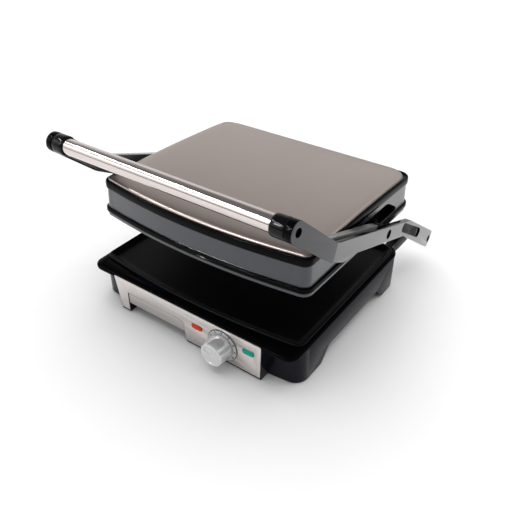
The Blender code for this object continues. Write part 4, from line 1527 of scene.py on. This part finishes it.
    def _pivots(self) -> None:
        """Builds the bolts and bushes that the lid floats on."""
        fin = self.finishes
        bolt = [
            (0, 0.1840),
            (0.0030, 0.1840),
            (0.0034, 0.1846),
            (0.0050, 0.1848),
            (0.0058, 0.1845),
            (0.0060, 0.1838),
            (0.0060, 0.1828),
            (0.0040, 0.1828),
            (0.0040, 0.1570),
            (0, 0.1570),
        ]
        bush = [
            (0.0044, 0.1776),
            (0.0088, 0.1776),
            (0.0093, 0.1773),
            (0.0095, 0.1768),
            (0.0095, 0.1668),
            (0.0044, 0.1668),
        ]
        for side, axis in (("left", "-X"), ("right", "X")):
            pin = self.shop.turned(f"{side}_pivot_bolt", axis, (0, 0, 0), bolt, [fin.dark_steel], 48)
            self.shop.give(pin, "fixing_steel", f"pivot_bolt_{side}", body="pivot_bolts")
            sleeve = self.shop.turned(f"{side}_pivot_bush", axis, (0, 0, 0), bush, [fin.nylon], 48, True)
            self.shop.give(sleeve, "black_nylon", f"pivot_bush_{side}")


@dataclass
class InnerParts:
    """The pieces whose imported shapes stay, and get their finishes here."""

    finishes: Finishes
    nodes: dict[str, bpy.types.Object]

    def build(self) -> None:
        """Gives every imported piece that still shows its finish."""
        fin = self.finishes
        finish_of = {
            "bottom_cover": fin.satin_black,
            "cover_screw_front_left": fin.steel,
            "cover_screw_front_right": fin.steel,
            "cover_screw_rear_left": fin.steel,
            "cover_screw_rear_right": fin.steel,
            "lower_heating_element": fin.element,
            "upper_heating_element": fin.element,
            "lower_reflector": fin.aluminium,
            "upper_reflector": fin.aluminium,
            "upper_plate": fin.non_stick,
            "thermostat": fin.cream,
            "power_lamp": fin.cream,
            "ready_lamp": fin.cream,
            "terminal_block": fin.cream,
            "thermostat_shaft": fin.steel,
            "thermal_fuse": fin.steel,
            "tray_rail_left": fin.aluminium,
            "tray_rail_right": fin.aluminium,
        }
        for name, finish in finish_of.items():
            node = self.nodes[name]
            node.data.materials.clear()
            node.data.materials.append(finish)
            LOG.info("%s keeps its packed shape, in %s", name, finish.name)


@dataclass
class Studio:
    """The floor, the lights and the camera."""

    finishes: Finishes
    camera_place: tuple[float, float, float] = (0.4312, -0.6012, 0.5600)
    azimuth: float = 35.81
    elevation: float = 35.10
    sky_stops: tuple[tuple[float, float], ...] = (
        (0.0, 0.15), (0.19, 0.15), (0.26, 0.98), (0.55, 0.80), (0.70, 0.45), (0.85, 0.22), (1.0, 0.14)
    )
    sun_strength: float = 2.5
    sun_spread: float = 80.0
    sun_tilt: tuple[float, float, float] = (-14.0, -10.0, 0.0)
    lens: float = 42.48
    sensor: float = 36.0
    sky_axis: tuple[float, float, float] = (-0.22, 0.0, 0.97)

    def build(self) -> None:
        """Sets up the floor, the light and the camera."""
        self._floor()
        self._world()
        self._sun()
        middle = (0.0, -0.10, 0.20)
        self._softbox("broad_softbox", (-1.30, -1.45, 1.15), middle, (1.70, 0.60), 1.2)
        self._softbox("small_softbox", (-0.76, -1.60, 1.35), middle, (0.26, 0.13), 70.0)
        self._softbox("pin_strip", (-1.10, -1.35, 1.95), middle, (2.6, 0.03), 130.0)
        bpy.context.scene.cycles.caustics_reflective = False
        self._camera()
        bpy.context.scene.view_settings.view_transform = "Standard"

    def _floor(self) -> None:
        """Lays the pale floor."""
        bm = bmesh.new()
        bmesh.ops.create_grid(bm, x_segments=1, y_segments=1, size=8.0)
        mesh = bpy.data.meshes.new("floor")
        bm.to_mesh(mesh)
        bm.free()
        mesh.materials.append(self.finishes.floor)
        floor = bpy.data.objects.new("floor", mesh)
        bpy.context.scene.collection.objects.link(floor)

    def _world(self) -> None:
        """Makes surroundings that are bright near the horizon and dim overhead."""
        world = bpy.data.worlds.new("studio")
        world.use_nodes = True
        tree = world.node_tree
        back = tree.nodes["Background"]
        coordinate = tree.nodes.new("ShaderNodeTexCoord")
        height = tree.nodes.new("ShaderNodeVectorMath")
        height.operation = "DOT_PRODUCT"
        height.inputs[1].default_value = self.sky_axis
        ramp = tree.nodes.new("ShaderNodeValToRGB")
        tree.links.new(coordinate.outputs["Generated"], height.inputs[0])
        tree.links.new(height.outputs["Value"], ramp.inputs["Fac"])
        stops = self.sky_stops
        ramp.color_ramp.elements[0].position = stops[0][0]
        ramp.color_ramp.elements[1].position = stops[-1][0]
        ramp.color_ramp.elements[0].color = (stops[0][1],) * 3 + (1.0,)
        ramp.color_ramp.elements[1].color = (stops[-1][1],) * 3 + (1.0,)
        for position, level in stops[1:-1]:
            stop = ramp.color_ramp.elements.new(position)
            stop.color = (level, level, level, 1.0)
        tree.links.new(ramp.outputs["Color"], back.inputs["Color"])
        back.inputs["Strength"].default_value = 1.0
        bpy.context.scene.world = world

    def _sun(self) -> None:
        """Adds soft light from above that shows in no reflection."""
        data = bpy.data.lights.new("overhead", "SUN")
        data.energy = self.sun_strength
        data.angle = math.radians(self.sun_spread)
        light = bpy.data.objects.new("overhead", data)
        light.rotation_euler = tuple(math.radians(angle) for angle in self.sun_tilt)
        light.visible_glossy = False
        bpy.context.scene.collection.objects.link(light)

    def _softbox(
        self,
        name: str,
        place: tuple[float, float, float],
        target: tuple[float, float, float],
        size: tuple[float, float],
        radiance: float,
    ) -> None:
        """Adds a softbox that shows in glossy surfaces and lights nothing else.

        Args:
            name: the light's name.
            place: where it stands.
            target: what it points at.
            size: its width and height.
            radiance: how bright its surface looks.
        """
        data = bpy.data.lights.new(name, "AREA")
        data.shape = "RECTANGLE"
        data.size, data.size_y = size
        data.energy = radiance * math.pi * size[0] * size[1]
        light = bpy.data.objects.new(name, data)
        light.location = place
        aim = Vector(target) - Vector(place)
        light.rotation_euler = aim.to_track_quat("-Z", "Y").to_euler()
        light.visible_diffuse = False
        bpy.context.scene.collection.objects.link(light)

    def _camera(self) -> None:
        """Places the camera."""
        data = bpy.data.cameras.new("camera")
        data.lens = self.lens
        data.sensor_width = self.sensor
        data.clip_start = 0.02
        data.clip_end = 40
        camera = bpy.data.objects.new("camera", data)
        camera.location = self.camera_place
        camera.rotation_euler = (
            math.radians(90 - self.elevation),
            0,
            math.radians(self.azimuth),
        )
        bpy.context.scene.collection.objects.link(camera)
        bpy.context.scene.camera = camera


def main(frame: dict) -> None:
    """Builds the press over its frame.
    """
    joints = {joint["name"]: joint for joint in frame["joints"]}
    hinge = Vector(joints["lid_open"]["pos_m"])
    pivot = Vector(joints["lid_float"]["pos_m"])
    panel_y = hinge.y - Base.hinge_y
    finishes = Finishes()
    Base(finishes, panel_y).build()
    ControlPanel(finishes, panel_y).build()
    DripTray(finishes, panel_y).build()
    Arms(finishes, hinge).build()
    Lid(finishes, pivot).build()
    InnerParts(finishes, frame["nodes"]).build()
    Studio(finishes).build()


if __name__ == "__main__":
    logging.basicConfig(level=logging.INFO, format="%(message)s")
    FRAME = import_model()
    main(FRAME)
